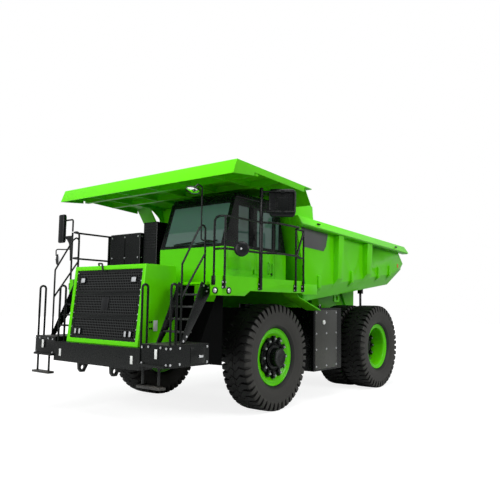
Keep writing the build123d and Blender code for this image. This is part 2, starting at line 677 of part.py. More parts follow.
def head_place():
    """Place of the left mirror housing, turned towards the driver."""
    return Location((2400, -680, 0), (0, 0, 36.9))


def round_mirror(centre, aim, radius):
    """A round mirror's dished back and the thin glass disc on its face, which looks along aim."""
    place = Plane(Vector(*centre), z_dir=Vector(*aim))
    back = extrude(place * Circle(radius), amount=-30, taper=25)
    rim_ring = extrude(place * Circle(radius), amount=12)
    glass = extrude(place.offset(12) * Circle(radius - 12), amount=4)
    return join([back, rim_ring]), glass


def mirrors():
    """Mirror housings with their arms on the rails' posts, and their glass."""
    x, y = DECK_HALF + RAIL_TUBE, DECK_FRONT_Y + 40
    arm_foot = RAIL_HIGH_Z + RAIL_TUBE
    left = block(-250, 250, -70, 70, 3620, 4130).moved(head_place())
    left_arm = join([bar([(x, -980, arm_foot), (x, -980, 4080), (2340, -790, 4080)], RAIL_TUBE),
                     bar([(x, -980, 3690), (2340, -790, 3690)], RAIL_TUBE)])
    right = block(-2640, -2440, y - 40, y + 40, 3300, 3920)
    right_arm = bar([(-x, y, arm_foot), (-x, y, 3700), (-2500, y, 3700)], RAIL_TUBE)
    post = (NOSE_IN_X + 40, y)
    front_place = (post[0] - 90, DECK_FRONT_Y - 410, 3890)
    front, front_glass = round_mirror(front_place, (0, -0.35, -0.94), 125)
    seat = RAIL_TUBE + SEAT_GAP
    flat_seat = RAIL_TUBE * math.cos(math.pi / 6) + SEAT_GAP
    front_arm = bar([(post[0], y - flat_seat, 3080), (post[0], y - 150, 3080), (post[0] - 90, y - 230, 3080), (post[0] - 90, y - 230, 3980),
                     (post[0] - 90, y - 330, 4010), (post[0] - 90, DECK_FRONT_Y - 400, 3915)], MIRROR_TUBE)
    side, side_glass = round_mirror((x + 165, DECK_FRONT_Y + 270, RAIL_MID_Z), (-0.5, 0.86, 0), 130)
    side_arm = bar([(x + seat, y, RAIL_MID_Z + 120), (x + 110, y, RAIL_MID_Z + 120), (x + 180, y + 90, RAIL_MID_Z + 120),
                    (x + 181, DECK_FRONT_Y + 243, RAIL_MID_Z + 50)], MIRROR_TUBE)
    far, far_glass = round_mirror((-2520, DECK_FRONT_Y - 60, 2930), (0.5, 0.86, 0), 120)
    far_arm = bar([(-x - seat, y, 3150), (-2420, y, 3150), (-2534, DECK_FRONT_Y - 93, 3150),
                   (-2532, DECK_FRONT_Y - 86, 3010)], MIRROR_TUBE)
    heads = [join([left, left_arm]), join([right, right_arm]), join([front, front_arm]), join([side, side_arm]),
             join([far, far_arm])]
    left_glass = block(-215, 215, 70, 76, 3660, 4090).moved(head_place())
    right_glass = block(-2622, -2458, y + 40, y + 46, 3340, 3880)
    return {"mirror_heads": heads, "mirror_glass": [left_glass, right_glass, front_glass, side_glass, far_glass]}


def deck_cabinets():
    """Bolted equipment cabinet and the taller air cleaner boxes on the right deck."""
    cabinet = block(-1500, -560, -1460, -900, DECK_TOP_Z, 3450)
    cleaner = block(-530, -130, -1400, -500, DECK_TOP_Z, 3650)
    return [cabinet, cleaner]


def side_tanks():
    """Fuel tank on the left and oil tank on the right, each bracketed to its rail."""
    outer = RAIL_X + RAIL_HALF_WIDTH
    tank = block(950, TANK_OUTER_X, TANK_FRONT_Y, TANK_REAR_Y, TANK_LOW_Z, TANK_TOP_Z)
    brackets = [block(outer, 950, y, y + 120, 1240, 1480) for y in (1640, 2240)]
    return both(join([tank] + brackets))


# Cab

def cab_outline(inset=0.0):
    """Side outline of the cab, with an inset for its inner face."""
    return [
        (CAB_FRONT_Y + inset, DECK_TOP_Z + inset), (CAB_FRONT_Y + inset, CAB_SILL_Z),
        (CAB_ROOF_FRONT_Y + inset, CAB_ROOF_Z - 90), (CAB_ROOF_FRONT_Y + 60 + inset, CAB_ROOF_Z - inset),
        (CAB_ROOF_REAR_Y - 40 - inset, CAB_ROOF_Z - inset), (CAB_ROOF_REAR_Y - inset, CAB_ROOF_Z - 90),
        (CAB_REAR_Y - inset, CAB_SILL_Z), (CAB_REAR_Y - inset, DECK_TOP_Z + inset),
    ]


def door_outline(grow=0.0):
    """Side outline of the door leaf."""
    return [(DOOR_FRONT_Y - grow, DOOR_LOW_Z - grow), (DOOR_REAR_Y + grow, DOOR_LOW_Z - grow),
            (DOOR_REAR_Y + grow, DOOR_TOP_Z + grow), (DOOR_FRONT_Y - grow, DOOR_TOP_Z + grow)]


def cab_shell():
    """The whole hollow cab with its door and windows cut."""
    outer = slab_x(cab_outline(), CAB_INNER_X, CAB_OUTER_X)
    inner = slab_x(cab_outline(CAB_WALL), CAB_INNER_X + CAB_WALL, CAB_OUTER_X - CAB_WALL)
    door = slab_x(door_outline(DOOR_GAP), CAB_OUTER_X - CAB_WALL - 5, CAB_OUTER_X + 5)
    shell = outer - inner - door
    for cutter in window_cutters():
        shell = shell - cutter
    return shell


def window_cutters():
    """Openings of the windscreen, rear window and fixed side windows."""
    x0, x1 = CAB_INNER_X + 95, CAB_OUTER_X - 95
    low, high = CAB_SILL_Z + 60, CAB_ROOF_Z - 190
    return [
        block(x0, x1, CAB_FRONT_Y - 20, CAB_FRONT_Y + 390, low, high),
        block(x0, x1, CAB_REAR_Y - 370, CAB_REAR_Y + 20, low, high),
        block(CAB_OUTER_X - 60, CAB_OUTER_X + 20, -1050, -720, low, high - 40),
        block(CAB_OUTER_X - 60, CAB_OUTER_X + 20, 120, 250, low, high - 250),
        block(CAB_INNER_X - 20, CAB_INNER_X + 60, -1050, 150, low, high - 40),
    ]


def cab_glass():
    """Fixed panes that fill the windows."""
    mid = (CAB_WALL - PANE) / 2
    outer = slab_x(cab_outline(mid), CAB_INNER_X + mid, CAB_OUTER_X - mid)
    inner = slab_x(cab_outline(mid + PANE), CAB_INNER_X + mid + PANE, CAB_OUTER_X - mid - PANE)
    skin = outer - inner
    return [piece for cutter in window_cutters() for piece in (skin & cutter).solids()]


def cab():
    """Cab pieces: lower body, window frames, roof, glass, seat and console."""
    shell = cab_shell()
    low_hinge, high_hinge = (hinge_mount(z) for z in HINGE_HEIGHTS)
    lower = (shell & block(-3000, 3000, -3000, 3000, 0, CAB_SILL_Z)).fuse(low_hinge)
    upper = shell & block(-3000, 3000, -3000, 3000, CAB_SILL_Z, CAB_ROOF_Z - 90)
    roof = shell & block(-3000, 3000, -3000, 3000, CAB_ROOF_Z - 90, 6000)
    between = block(CAB_INNER_X + CAB_WALL, CAB_OUTER_X - CAB_WALL, -3000, 3000, 0, 6000)
    sides = (upper - between).fuse(high_hinge)
    floor = DECK_TOP_Z + CAB_WALL
    x = 860
    seat = join([
        block(x - 230, x + 230, -420, 60, floor, floor + 380),
        block(x - 250, x + 250, -450, 80, floor + 380, floor + 500),
        block(x - 250, x + 250, 20, 140, floor + 500, floor + 1120),
    ])
    console = join([
        block(x - 330, x + 330, CAB_FRONT_Y + CAB_WALL, -1080, floor, floor + 590),
        rod((x, -1090, floor + 560), (x, -900, floor + 800), 32),
        Pos(x, -880, floor + 810) * Rot(38, 0, 0) * Cylinder(215, 26),
    ])
    return {"cab_body": lower.solids(), "cab_frame": (upper & between).solids(), "cab_roof": roof.solids(),
            "cab_side_frames": sides.solids(), "cab_glass": cab_glass(), "cab_seat": [seat], "cab_console": [console]}


def hinge_strap(z):
    """The door's half of a hinge: a strap on the leaf and a bored barrel."""
    low, high = z - HINGE_HALF, z + HINGE_HALF
    strap = slab_z([(CAB_OUTER_X, DOOR_FRONT_Y + 4), (CAB_OUTER_X, DOOR_FRONT_Y + 60),
                    (HINGE_X + 10, DOOR_FRONT_Y + 30), (HINGE_X + 10, HINGE_Y), (HINGE_X - 10, HINGE_Y)], low, high)
    barrel = rod((HINGE_X, HINGE_Y, low), (HINGE_X, HINGE_Y, high), HINGE_BARREL_R)
    hole = rod((HINGE_X, HINGE_Y, low - 1), (HINGE_X, HINGE_Y, high + 1), HINGE_PIN_R + SEAT_GAP)
    return join([strap, barrel]) - hole


def hinge_mount(z):
    """The cab's half of a hinge: a pin between two lugs."""
    reach = HINGE_HALF + SEAT_GAP
    lugs = [block(CAB_OUTER_X, HINGE_X + 12, HINGE_Y - 12, HINGE_Y + 12, z + near, z + far)
            for near, far in ((reach, reach + 15), (-reach - 15, -reach))]
    pin = rod((HINGE_X, HINGE_Y, z - reach - 5), (HINGE_X, HINGE_Y, z + reach + 5), HINGE_PIN_R)
    return join(lugs + [pin])


def cab_door():
    """Door leaf with its window cut, and a grab handle."""
    leaf = slab_x(door_outline(), CAB_OUTER_X - CAB_WALL, CAB_OUTER_X)
    window = door_window()
    handle = bar([(CAB_OUTER_X, -20, 2600), (CAB_OUTER_X + 40, -20, 2600), (CAB_OUTER_X + 40, -20, 2820),
                  (CAB_OUTER_X, -20, 2820)], 9)
    return join([leaf - window, handle] + [hinge_strap(z) for z in HINGE_HEIGHTS])


def door_window():
    """Opening of the door's window."""
    return block(CAB_OUTER_X - 60, CAB_OUTER_X + 20, DOOR_FRONT_Y + 70, DOOR_REAR_Y - 70, CAB_SILL_Z + 60,
                 DOOR_TOP_Z - 70)


def door_glass():
    """The door's pane."""
    mid = (CAB_WALL - PANE) / 2
    return door_window() & block(CAB_OUTER_X - mid - PANE, CAB_OUTER_X - mid, -3000, 3000, 0, 6000)


# Dump body

def floor_z(y):
    """Height of the underside of the floor at the centre line."""
    rise = FLOOR_SLOPE * (min(y, BODY_BREAK_Y) - BODY_FRONT_Y)
    return FLOOR_FRONT_Z + rise + TAIL_SLOPE * max(0.0, y - BODY_BREAK_Y)


def two_runs(section):
    """A cross-section above the floor line, carried back along the floor and up the tail."""
    start = HEAD_TOP[0] - 100
    front_z = FLOOR_FRONT_Z + FLOOR_SLOPE * (start - BODY_FRONT_Y)
    break_z = floor_z(BODY_BREAK_Y)
    first = slant([(x, z + front_z) for x, z in section], start, BODY_BREAK_Y, FLOOR_SLOPE)
    second = slant([(x, z + break_z) for x, z in section], BODY_BREAK_Y, TAIL_REACH + 200, TAIL_SLOPE)
    return first.fuse(second)


def head_y(z):
    """Y of the front wall's front face at a height."""
    foot_z = FLOOR_FRONT_Z + 20
    run = (BODY_FRONT_Y - HEAD_TOP[0]) / (HEAD_TOP[1] - foot_z)
    return HEAD_TOP[0] + (HEAD_TOP[1] - z) * run


def side_outline():
    """Side outline of the body's side, from the front wall to the tail."""
    return [
        (head_y(1700), 1700), HEAD_TOP, (760, 4225), (1050, 4085), (1100, 3700), RAIL_END, (5400, 3450),
        (5850, 3020), (TAIL_REACH, 2960), (TAIL_REACH, 1700),
    ]


def body_side():
    """Left side: chine fold and upright plate, ribs, lower straps and the top rail."""
    t = BODY_PLATE
    skin = two_runs([
        (CHINE_X, FLOOR_DISH), (BODY_SIDE_X, FLOOR_DISH + CHINE_RISE), (BODY_SIDE_X, 3200),
        (BODY_SIDE_X - t, 3200), (BODY_SIDE_X - t, FLOOR_DISH + CHINE_RISE + 8), (CHINE_X, FLOOR_DISH + FLOOR_PLATE),
    ])
    skin = skin & slab_x(side_outline(), CHINE_X - 50, BODY_SIDE_X + 50)
    slope = (RAIL_END[1] - RAIL_START[1]) / (RAIL_END[0] - RAIL_START[0])
    top = RAIL_START[1]
    out = BODY_SIDE_X + TOP_RAIL_WIDTH
    rail = slant([(BODY_SIDE_X, top), (BODY_SIDE_X + TOP_RAIL_WIDTH / 3, top), (out, top - 175), (out - 40, top - 200),
                  (BODY_SIDE_X, top - 200)], RAIL_START[0], RAIL_END[0], slope)
    ribs = []
    for y, width in RIB_PLACES:
        low = floor_z(y) + FLOOR_DISH + 60
        high = RAIL_START[1] + slope * (y - RAIL_START[0]) - 205
        ribs.append(slab_y([(BODY_SIDE_X, high), (BODY_SIDE_X + 140, high), (BODY_SIDE_X + 110, low + 330),
                            (BODY_SIDE_X - 60, low + 130), (BODY_SIDE_X, low + 260)], y - width / 2, y + width / 2))
    for y in STRAP_PLACES:
        low = floor_z(y) + FLOOR_DISH
        ribs.append(slab_y([(BODY_SIDE_X, low + 520), (BODY_SIDE_X + 36, low + 500), (BODY_SIDE_X + 36, low + 250),
                            (BODY_SIDE_X - 60, low + 160), (BODY_SIDE_X, low + 280)], y - 50, y + 50))
    return join([skin, rail] + ribs)


def body_floor():
    """Floor plates, underside stringers with pivot ears and hoist eyes, and bolsters."""
    t = FLOOR_PLATE
    plates = two_runs([
        (-CHINE_X, FLOOR_DISH), (-FLOOR_HALF, 0), (FLOOR_HALF, 0), (CHINE_X, FLOOR_DISH),
        (CHINE_X, FLOOR_DISH + t), (FLOOR_HALF, t), (-FLOOR_HALF, t), (-CHINE_X, FLOOR_DISH + t),
    ])
    plates = plates & slab_x([(head_y(1700), 1700), (head_y(3600), 3600), (TAIL_REACH, 3600), (TAIL_REACH, 1700)],
                             -CHINE_X - 50, CHINE_X + 50)
    x0, x1 = RAIL_X - 75, RAIL_X + 75
    base = RAIL_TOP_Z + SEAT_GAP
    stringer = slab_x([(1000, base), (1000, floor_z(1000) + 10), (BODY_BREAK_Y, floor_z(BODY_BREAK_Y) + 10),
                       (BODY_BREAK_Y + 60, floor_z(BODY_BREAK_Y)), (PIVOT_Y - 330, base)], x0, x1)
    outer = RAIL_X + RAIL_HALF_WIDTH
    ear = slab_x([(PIVOT_Y - 120, PIVOT_Z - 110), (PIVOT_Y + 120, PIVOT_Z - 110), (PIVOT_Y + 150, floor_z(PIVOT_Y + 150) + 5),
                  (BODY_BREAK_Y - 300, floor_z(BODY_BREAK_Y - 300) + 5)], outer + 6, outer + 66)
    ear = ear - bore_x(PIVOT_Y, PIVOT_Z, PIVOT_PIN + SEAT_GAP, outer, outer + 80)
    seat = HOIST_X - HOIST_EYE_HALF - SEAT_GAP
    roof = floor_z(HOIST_EYE_Y)
    eye_plate = slab_x([(HOIST_EYE_Y - 90, HOIST_EYE_Z - 80), (HOIST_EYE_Y + 90, HOIST_EYE_Z - 80),
                        (HOIST_EYE_Y + 190, roof + 60), (HOIST_EYE_Y - 190, roof + 15)], seat - 50, seat)
    front, rear = HOIST_FOOT_Y + 200, HOIST_FOOT_Y + 450
    lift = FLOOR_DISH * 0.8
    bolster = slab_x([(front, floor_z(front) + lift), (front, 2120), (rear, 2120), (rear, floor_z(rear) + lift)],
                     1280, 1320)
    bolster = bolster - bore_x((front + rear) / 2, 2210, 55, 1200, 1400)
    return join([plates] + both(stringer) + both(ear) + both(eye_plate) + both(bolster))


def body_headboard():
    """Front wall, fitted inside the floor and sides, with upright ribs on its front face."""
    t = BODY_PLATE
    half = BODY_SIDE_X - t
    low, high = floor_z(BODY_FRONT_Y) - 40, HEAD_TOP[1]
    wall = slab_x([(head_y(high), high), (head_y(low), low), (head_y(low) + t, low), (head_y(high) + t, high)],
                  -half, half)
    cavity = two_runs([
        (-CHINE_X, FLOOR_DISH + FLOOR_PLATE), (-FLOOR_HALF, FLOOR_PLATE), (FLOOR_HALF, FLOOR_PLATE),
        (CHINE_X, FLOOR_DISH + FLOOR_PLATE), (half, FLOOR_DISH + CHINE_RISE + 8), (half, 3200),
        (-half, 3200), (-half, FLOOR_DISH + CHINE_RISE + 8),
    ])
    ribs = [slab_x([(head_y(4150) - 60, 4150), (head_y(2200) - 60, 2250), (head_y(2200), 2200), (head_y(4150), 4150)],
                   x - 60, x + 60) for x in (-1500, -750, 0)]
    return join([wall & cavity] + ribs)


def canopy_z(y):
    """Height of the canopy's top face."""
    front_y, front_z = CANOPY_LIP_TOP
    fall = (front_z - HEAD_TOP[1] - CANOPY_PLATE) / (HEAD_TOP[0] + BODY_PLATE - front_y)
    return front_z - (y - front_y) * fall


def body_canopy():
    """Canopy plate with its leaning lip, side flanges, rear drop plates and ribs beneath."""
    low, top = CANOPY_LIP_LOW, CANOPY_LIP_TOP
    t, half = CANOPY_PLATE, CANOPY_HALF
    rear_y = HEAD_TOP[0] + BODY_PLATE
    lip = slab_x([low, top, (top[0] + t, canopy_z(top[0] + t)), (low[0] + t, low[1])], -half, half)
    plate = slab_x([top, (rear_y, canopy_z(rear_y)), (rear_y, canopy_z(rear_y) - t), (top[0], top[1] - t)], -half, half)
    corner_y = HEAD_TOP[0] - CANOPY_REAR_STEP
    flange = slab_x([low, top, (corner_y, canopy_z(corner_y)), (corner_y, 4190), (-1540, 4275), (-1540, 4215)],
                    half - t, half)
    drop = slab_x([(corner_y - t, canopy_z(corner_y) - 1), (corner_y, canopy_z(corner_y) - 1),
                   (HEAD_TOP[0], 3965), (HEAD_TOP[0] - t, 3965)], BODY_SIDE_X, half)
    under_y = top[0] + 2 * t
    under = slab_x([(under_y, canopy_z(under_y) - t / 2), (HEAD_TOP[0], canopy_z(HEAD_TOP[0]) - t / 2),
                    (HEAD_TOP[0], 3900), (under_y, 3900)], -half, half)
    beams = [block(-half + t, half - t, y, y + 90, 4225, 4400) for y in (-1500, -760)]
    ribs = [block(x - 10, x + 10, under_y, HEAD_TOP[0], 4235, 4400) for x in (-1700, -850, 0, 850, 1700)]
    gussets = both(canopy_gusset(GUSSET_X)) + [canopy_gusset(-GUSSET_X / 2)]
    return join([lip, plate, join(beams + ribs) & under] + both(flange) + both(drop) + gussets)


def canopy_gusset(x):
    """A curved plate from the canopy's underside down the headboard's front face."""
    top, low = canopy_z(HEAD_TOP[0]) - CANOPY_PLATE / 2, HEAD_TOP[1] - 700
    start = (x, HEAD_TOP[0] - 620, canopy_z(HEAD_TOP[0] - 620) - CANOPY_PLATE / 2)
    end = (x, head_y(low), low)
    middle = (x, HEAD_TOP[0] - 130, HEAD_TOP[1] - 190)
    edge = Wire([ThreePointArc(start, middle, end), Line(end, (x, head_y(top), top)), Line((x, head_y(top), top), start)])
    return extrude(Face(edge), amount=CANOPY_PLATE, dir=(1, 0, 0))


def rock_ejectors():
    """Bars that hang between the twin tyres."""
    x = REAR_OUTER_X - TWIN_SPACING / 2
    y = WHEELBASE + 182
    top = floor_z(y) + (x - FLOOR_HALF) / (CHINE_X - FLOOR_HALF) * FLOOR_DISH
    hanger = block(x - 60, x + 60, y - 40, y + 40, top - 110, top + 20)
    bar_piece = block(x - 18, x + 18, y - 30, y + 30, 1700, top - 110)
    plates = two_runs([(-CHINE_X, FLOOR_DISH), (-FLOOR_HALF, 0), (FLOOR_HALF, 0), (CHINE_X, FLOOR_DISH),
                       (CHINE_X, FLOOR_DISH + 300), (-CHINE_X, FLOOR_DISH + 300)])
    return both(join([hanger, bar_piece]) - plates)


# Hoist

def along_hoist(distance):
    """A point on the hoist's axis, from its foot pin towards its eye."""
    dy, dz = HOIST_EYE_Y - HOIST_FOOT_Y, HOIST_EYE_Z - HOIST_FOOT_Z
    length = math.hypot(dy, dz)
    return (HOIST_X, HOIST_FOOT_Y + dy * distance / length, HOIST_FOOT_Z + dz * distance / length)


def hoist():
    """Barrels, middle stages and rods of the two hoist cylinders."""
    length = math.hypot(HOIST_EYE_Y - HOIST_FOOT_Y, HOIST_EYE_Z - HOIST_FOOT_Z)
    half = HOIST_EYE_HALF
    x0, x1 = HOIST_X - half, HOIST_X + half
    foot = bore_x(HOIST_FOOT_Y, HOIST_FOOT_Z, 78, x0, x1)
    barrel = rod(along_hoist(40), along_hoist(length - 150), HOIST_BARREL_R)
    well = rod(along_hoist(80), along_hoist(length), HOIST_STAGE_R + SEAT_GAP)
    pin = bore_x(HOIST_FOOT_Y, HOIST_FOOT_Z, HOIST_PIN_R + SEAT_GAP, x0 - 50, x1 + 50)
    barrel = join([foot, barrel]) - well - pin
    stage = rod(along_hoist(82), along_hoist(length - 125), HOIST_STAGE_R)
    stage = stage - rod(along_hoist(112), along_hoist(length), HOIST_ROD_R + SEAT_GAP)
    eye = bore_x(HOIST_EYE_Y, HOIST_EYE_Z, 66, x0, x1)
    piston = join([rod(along_hoist(114), along_hoist(length - 30), HOIST_ROD_R), eye])
    return {"hoist_barrels": both(barrel), "hoist_stages": both(stage), "hoist_rods": both(piston)}


def model():
    """Every node's name with its solids."""
    nodes = {
        "frame": [frame()],
        "engine": [engine()],
        "transmission": [transmission()],
        "rear_axle": [rear_axle()],
        "suspension_struts": struts(),
        "steering_cylinder": [steering_cylinder()],
        "steering_rod": [steering_rod()],
        "bumper": [bumper()],
        "access_steps": access_steps(),
        "hood": [hood()],
        "grille": [grille()],
        "lamps": lamps(),
        "inner_fenders": inner_fenders(),
        "deck_left": [deck_left()],
        "deck_right": [deck_right()],
        "deck_rails_left": [deck_rails("left")],
        "deck_rails_right": [deck_rails("right")],
        "deck_cabinets": deck_cabinets(),
        "side_tanks": side_tanks(),
        "cab_door": [cab_door()],
        "door_glass": [door_glass()],
        "body_floor": [body_floor()],
        "body_sides": both(body_side()),
        "body_headboard": [body_headboard()],
        "body_canopy": [body_canopy()],
        "rock_ejectors": rock_ejectors(),
    }
    left = knuckle()
    nodes["knuckle_left"], nodes["knuckle_right"] = [left], [left.mirror(Plane.YZ)]
    nodes.update(mirrors())
    nodes.update(cab())
    nodes.update(hoist())
    nodes.update(wheels())
    return nodes


def write(name, shapes):
    """Write one node's solids as a STEP file in the truck's own frame."""
    solids = [solid for shape in shapes for solid in shape.solids()]
    placed = [solid.moved(Location((0, HALF_LENGTH_Y, 0))) for solid in solids]
    piece = placed[0] if len(placed) == 1 else Compound(placed)
    piece.label = name
    export_step(piece, os.path.join("parts", name + ".step"))


os.makedirs("parts", exist_ok=True)
for node, solids in model().items():
    write(node, solids)
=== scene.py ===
"""Looks of a rigid mining dump truck: its pieces, finishes, camera and light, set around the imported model."""
import logging
import math
from collections.abc import Sequence
from dataclasses import dataclass, field
from enum import Enum

import bmesh
import bpy
from mathutils import Matrix, Vector


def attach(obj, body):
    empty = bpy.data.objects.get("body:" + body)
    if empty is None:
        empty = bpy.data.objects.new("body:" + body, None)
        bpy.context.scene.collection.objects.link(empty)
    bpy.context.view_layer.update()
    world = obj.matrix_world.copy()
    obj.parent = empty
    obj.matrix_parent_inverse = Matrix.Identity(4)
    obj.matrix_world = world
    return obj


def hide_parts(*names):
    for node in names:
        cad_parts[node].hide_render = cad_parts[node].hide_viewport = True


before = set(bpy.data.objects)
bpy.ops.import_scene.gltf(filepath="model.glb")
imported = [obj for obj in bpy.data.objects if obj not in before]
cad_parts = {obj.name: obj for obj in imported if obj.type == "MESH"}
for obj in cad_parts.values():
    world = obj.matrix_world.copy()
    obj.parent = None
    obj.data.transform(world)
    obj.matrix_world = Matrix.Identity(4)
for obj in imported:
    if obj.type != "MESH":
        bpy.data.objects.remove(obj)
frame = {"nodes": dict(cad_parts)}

LOG = logging.getLogger("dump_truck")
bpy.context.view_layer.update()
FRONT_AXLE = Vector((0.0, -1.5075, 0.0))  # where the front axle's line meets the ground in the truck's frame
AXLE_HEIGHT = 1.0211
WHEELBASE = 4.318
Point = tuple[float, float, float]
Colour = tuple[float, float, float]
Span = tuple[float, float]
Profile = Sequence[Span]
Rectangle = tuple[float, float, float, float]
Box = tuple[float, float, float, float, float, float]


class Side(Enum):
    """The truck's own left and right."""

    LEFT = 1
    RIGHT = -1


class Along(Enum):
    """The axis that a prism or a turned shape runs along."""

    X = 0
    Y = 1
    Z = 2


# Node trees

class Graph:
    """Adds nodes to a tree and links them by socket name."""

    def __init__(self, tree: bpy.types.NodeTree) -> None:
        """Keeps the tree.

        Args:
            tree: the shader or geometry tree to fill.
        """
        self.tree = tree

    def add(self, kind: str, inputs: dict | None = None, **settings: object) -> bpy.types.Node:
        """Adds one node.

        Args:
            kind: the node's type name.
            inputs: socket name or number to a value, or to another node's output socket.
            settings: the node's own properties.

        Returns:
            The new node.
        """
        node = self.tree.nodes.new(kind)
        for key, value in settings.items():
            setattr(node, key, value)
        for key, value in (inputs or {}).items():
            socket = node.inputs[key]
            if isinstance(value, bpy.types.NodeSocket):
                self.tree.links.new(value, socket)
            else:
                socket.default_value = value
        return node

    def maths(self, operation: str, a: object, b: object = 0.0, clamp: bool = False) -> bpy.types.NodeSocket:
        """One sum, product or other operation, and its result's socket."""
        return self.add("ShaderNodeMath", {0: a, 1: b}, operation=operation, use_clamp=clamp).outputs[0]

    def mix(self, share: object, a: object, b: object) -> bpy.types.NodeSocket:
        """A colour between two others.

        Args:
            share: how much of the second there is, or its socket.
            a: the first colour, or its socket.
            b: the second colour, or its socket.

        Returns:
            The blended colour's socket.
        """
        node = self.add("ShaderNodeMix", data_type="RGBA")
        for socket, value in ((node.inputs[0], share), (node.inputs[6], a), (node.inputs[7], b)):
            if isinstance(value, bpy.types.NodeSocket):
                self.tree.links.new(value, socket)
            elif isinstance(value, float):
                socket.default_value = value
            else:
                socket.default_value = (*value, 1.0)
        return node.outputs[2]

    def ramp(self, value: bpy.types.NodeSocket, low: float, high: float) -> bpy.types.NodeSocket:
        """Value stretched so that low gives 0 and high gives 1, and its socket."""
        return self.add("ShaderNodeMapRange", {0: value, 1: low, 2: high}, clamp=True).outputs[0]


def new_tree(name: str, kind: str, inputs: list[tuple[str, str]],
             outputs: list[tuple[str, str]]) -> tuple[Graph, bpy.types.Node, bpy.types.Node]:
    """Makes a node group with named sockets.

    Args:
        name: the group's name.
        kind: ShaderNodeTree or GeometryNodeTree.
        inputs: names and kinds of its inputs, such as ("Radius", "Float").
        outputs: names and kinds of its outputs.

    Returns:
        The graph, its input node and its output node.
    """
    tree = bpy.data.node_groups.new(name, kind)
    for listed, way in ((inputs, "INPUT"), (outputs, "OUTPUT")):
        for label, socket in listed:
            tree.interface.new_socket(label, in_out=way, socket_type="NodeSocket" + socket)
    graph = Graph(tree)
    return graph, graph.add("NodeGroupInput"), graph.add("NodeGroupOutput")


def blank(name: str) -> tuple[bpy.types.Material, Graph, bpy.types.Node]:
    """Makes a material with nodes.

    Args:
        name: its name.

    Returns:
        The material, its graph and its main shader.
    """
    made = bpy.data.materials.new(name)
    made.use_nodes = True
    return made, Graph(made.node_tree), made.node_tree.nodes["Principled BSDF"]


# Shader groups that several finishes use

def grime_group() -> bpy.types.NodeTree:
    """Dust that settles on upper faces and near the ground, and streaks of colour change.

    Returns:
        The shader group, with Colour, Roughness and Mask outputs.
    """
    graph, given, out = new_tree(
        "Grime", "ShaderNodeTree",
        [("Paint", "Color"), ("Dust", "Color"), ("Amount", "Float"), ("Smooth", "Float"), ("Dull", "Float")],
        [("Colour", "Color"), ("Roughness", "Float"), ("Mask", "Float")])
    place = graph.add("ShaderNodeTexCoord").outputs["Object"]
    height = graph.add("ShaderNodeSeparateXYZ", {0: place}).outputs["Z"]
    up = graph.add("ShaderNodeSeparateXYZ", {0: graph.add("ShaderNodeNewGeometry").outputs["Normal"]}).outputs["Z"]
    cloud = graph.add("ShaderNodeTexNoise", {"Vector": place, "Scale": 2.3, "Detail": 5.0, "Roughness": 0.62})
    speck = graph.add("ShaderNodeTexNoise", {"Vector": place, "Scale": 31.0, "Detail": 3.0})
    low = graph.ramp(height, 1.6, 0.0)
    top = graph.ramp(up, 0.45, 1.0)
    lie = graph.maths("ADD", graph.maths("MULTIPLY", low, 0.9), graph.maths("MULTIPLY", top, 0.45), clamp=True)
    patch = graph.ramp(cloud.outputs[0], 0.38, 0.72)
    fine = graph.ramp(speck.outputs[0], 0.3, 0.75)
    mask = graph.maths("MULTIPLY", graph.maths("MULTIPLY", lie, graph.maths("ADD", patch, 0.35)), fine)
    mask = graph.maths("MULTIPLY", mask, given.outputs["Amount"], clamp=True)
    shade = graph.mix(graph.maths("MULTIPLY", patch, 0.08), given.outputs["Paint"], (0.0, 0.0, 0.0))
    colour = graph.mix(mask, shade, given.outputs["Dust"])
    spread = graph.maths("SUBTRACT", given.outputs["Dull"], given.outputs["Smooth"])
    varied = graph.maths("ADD", mask, graph.maths("MULTIPLY", fine, 0.12), clamp=True)
    rough = graph.maths("ADD", given.outputs["Smooth"], graph.maths("MULTIPLY", spread, varied))
    for name, socket in (("Colour", colour), ("Roughness", rough), ("Mask", mask)):
        graph.tree.links.new(socket, out.inputs[name])
    return graph.tree


def grain_group() -> bpy.types.NodeTree:
    """A fine moulded or sprayed grain.

    Returns:
        The shader group, with a Height output from 0 to 1.
    """
    graph, given, out = new_tree("Grain", "ShaderNodeTree", [("Scale", "Float"), ("Coarse", "Float")],
                                 [("Height", "Float")])
    place = graph.add("ShaderNodeTexCoord").outputs["Object"]
    fine = graph.add("ShaderNodeTexNoise", {"Vector": place, "Scale": given.outputs["Scale"], "Detail": 2.0})
    cells = graph.add("ShaderNodeTexVoronoi", {"Vector": place, "Scale": given.outputs["Coarse"]})
    height = graph.maths("ADD", graph.maths("MULTIPLY", fine.outputs[0], 0.7),
                         graph.maths("MULTIPLY", cells.outputs["Distance"], 0.3))
    graph.tree.links.new(height, out.inputs["Height"])
    return graph.tree


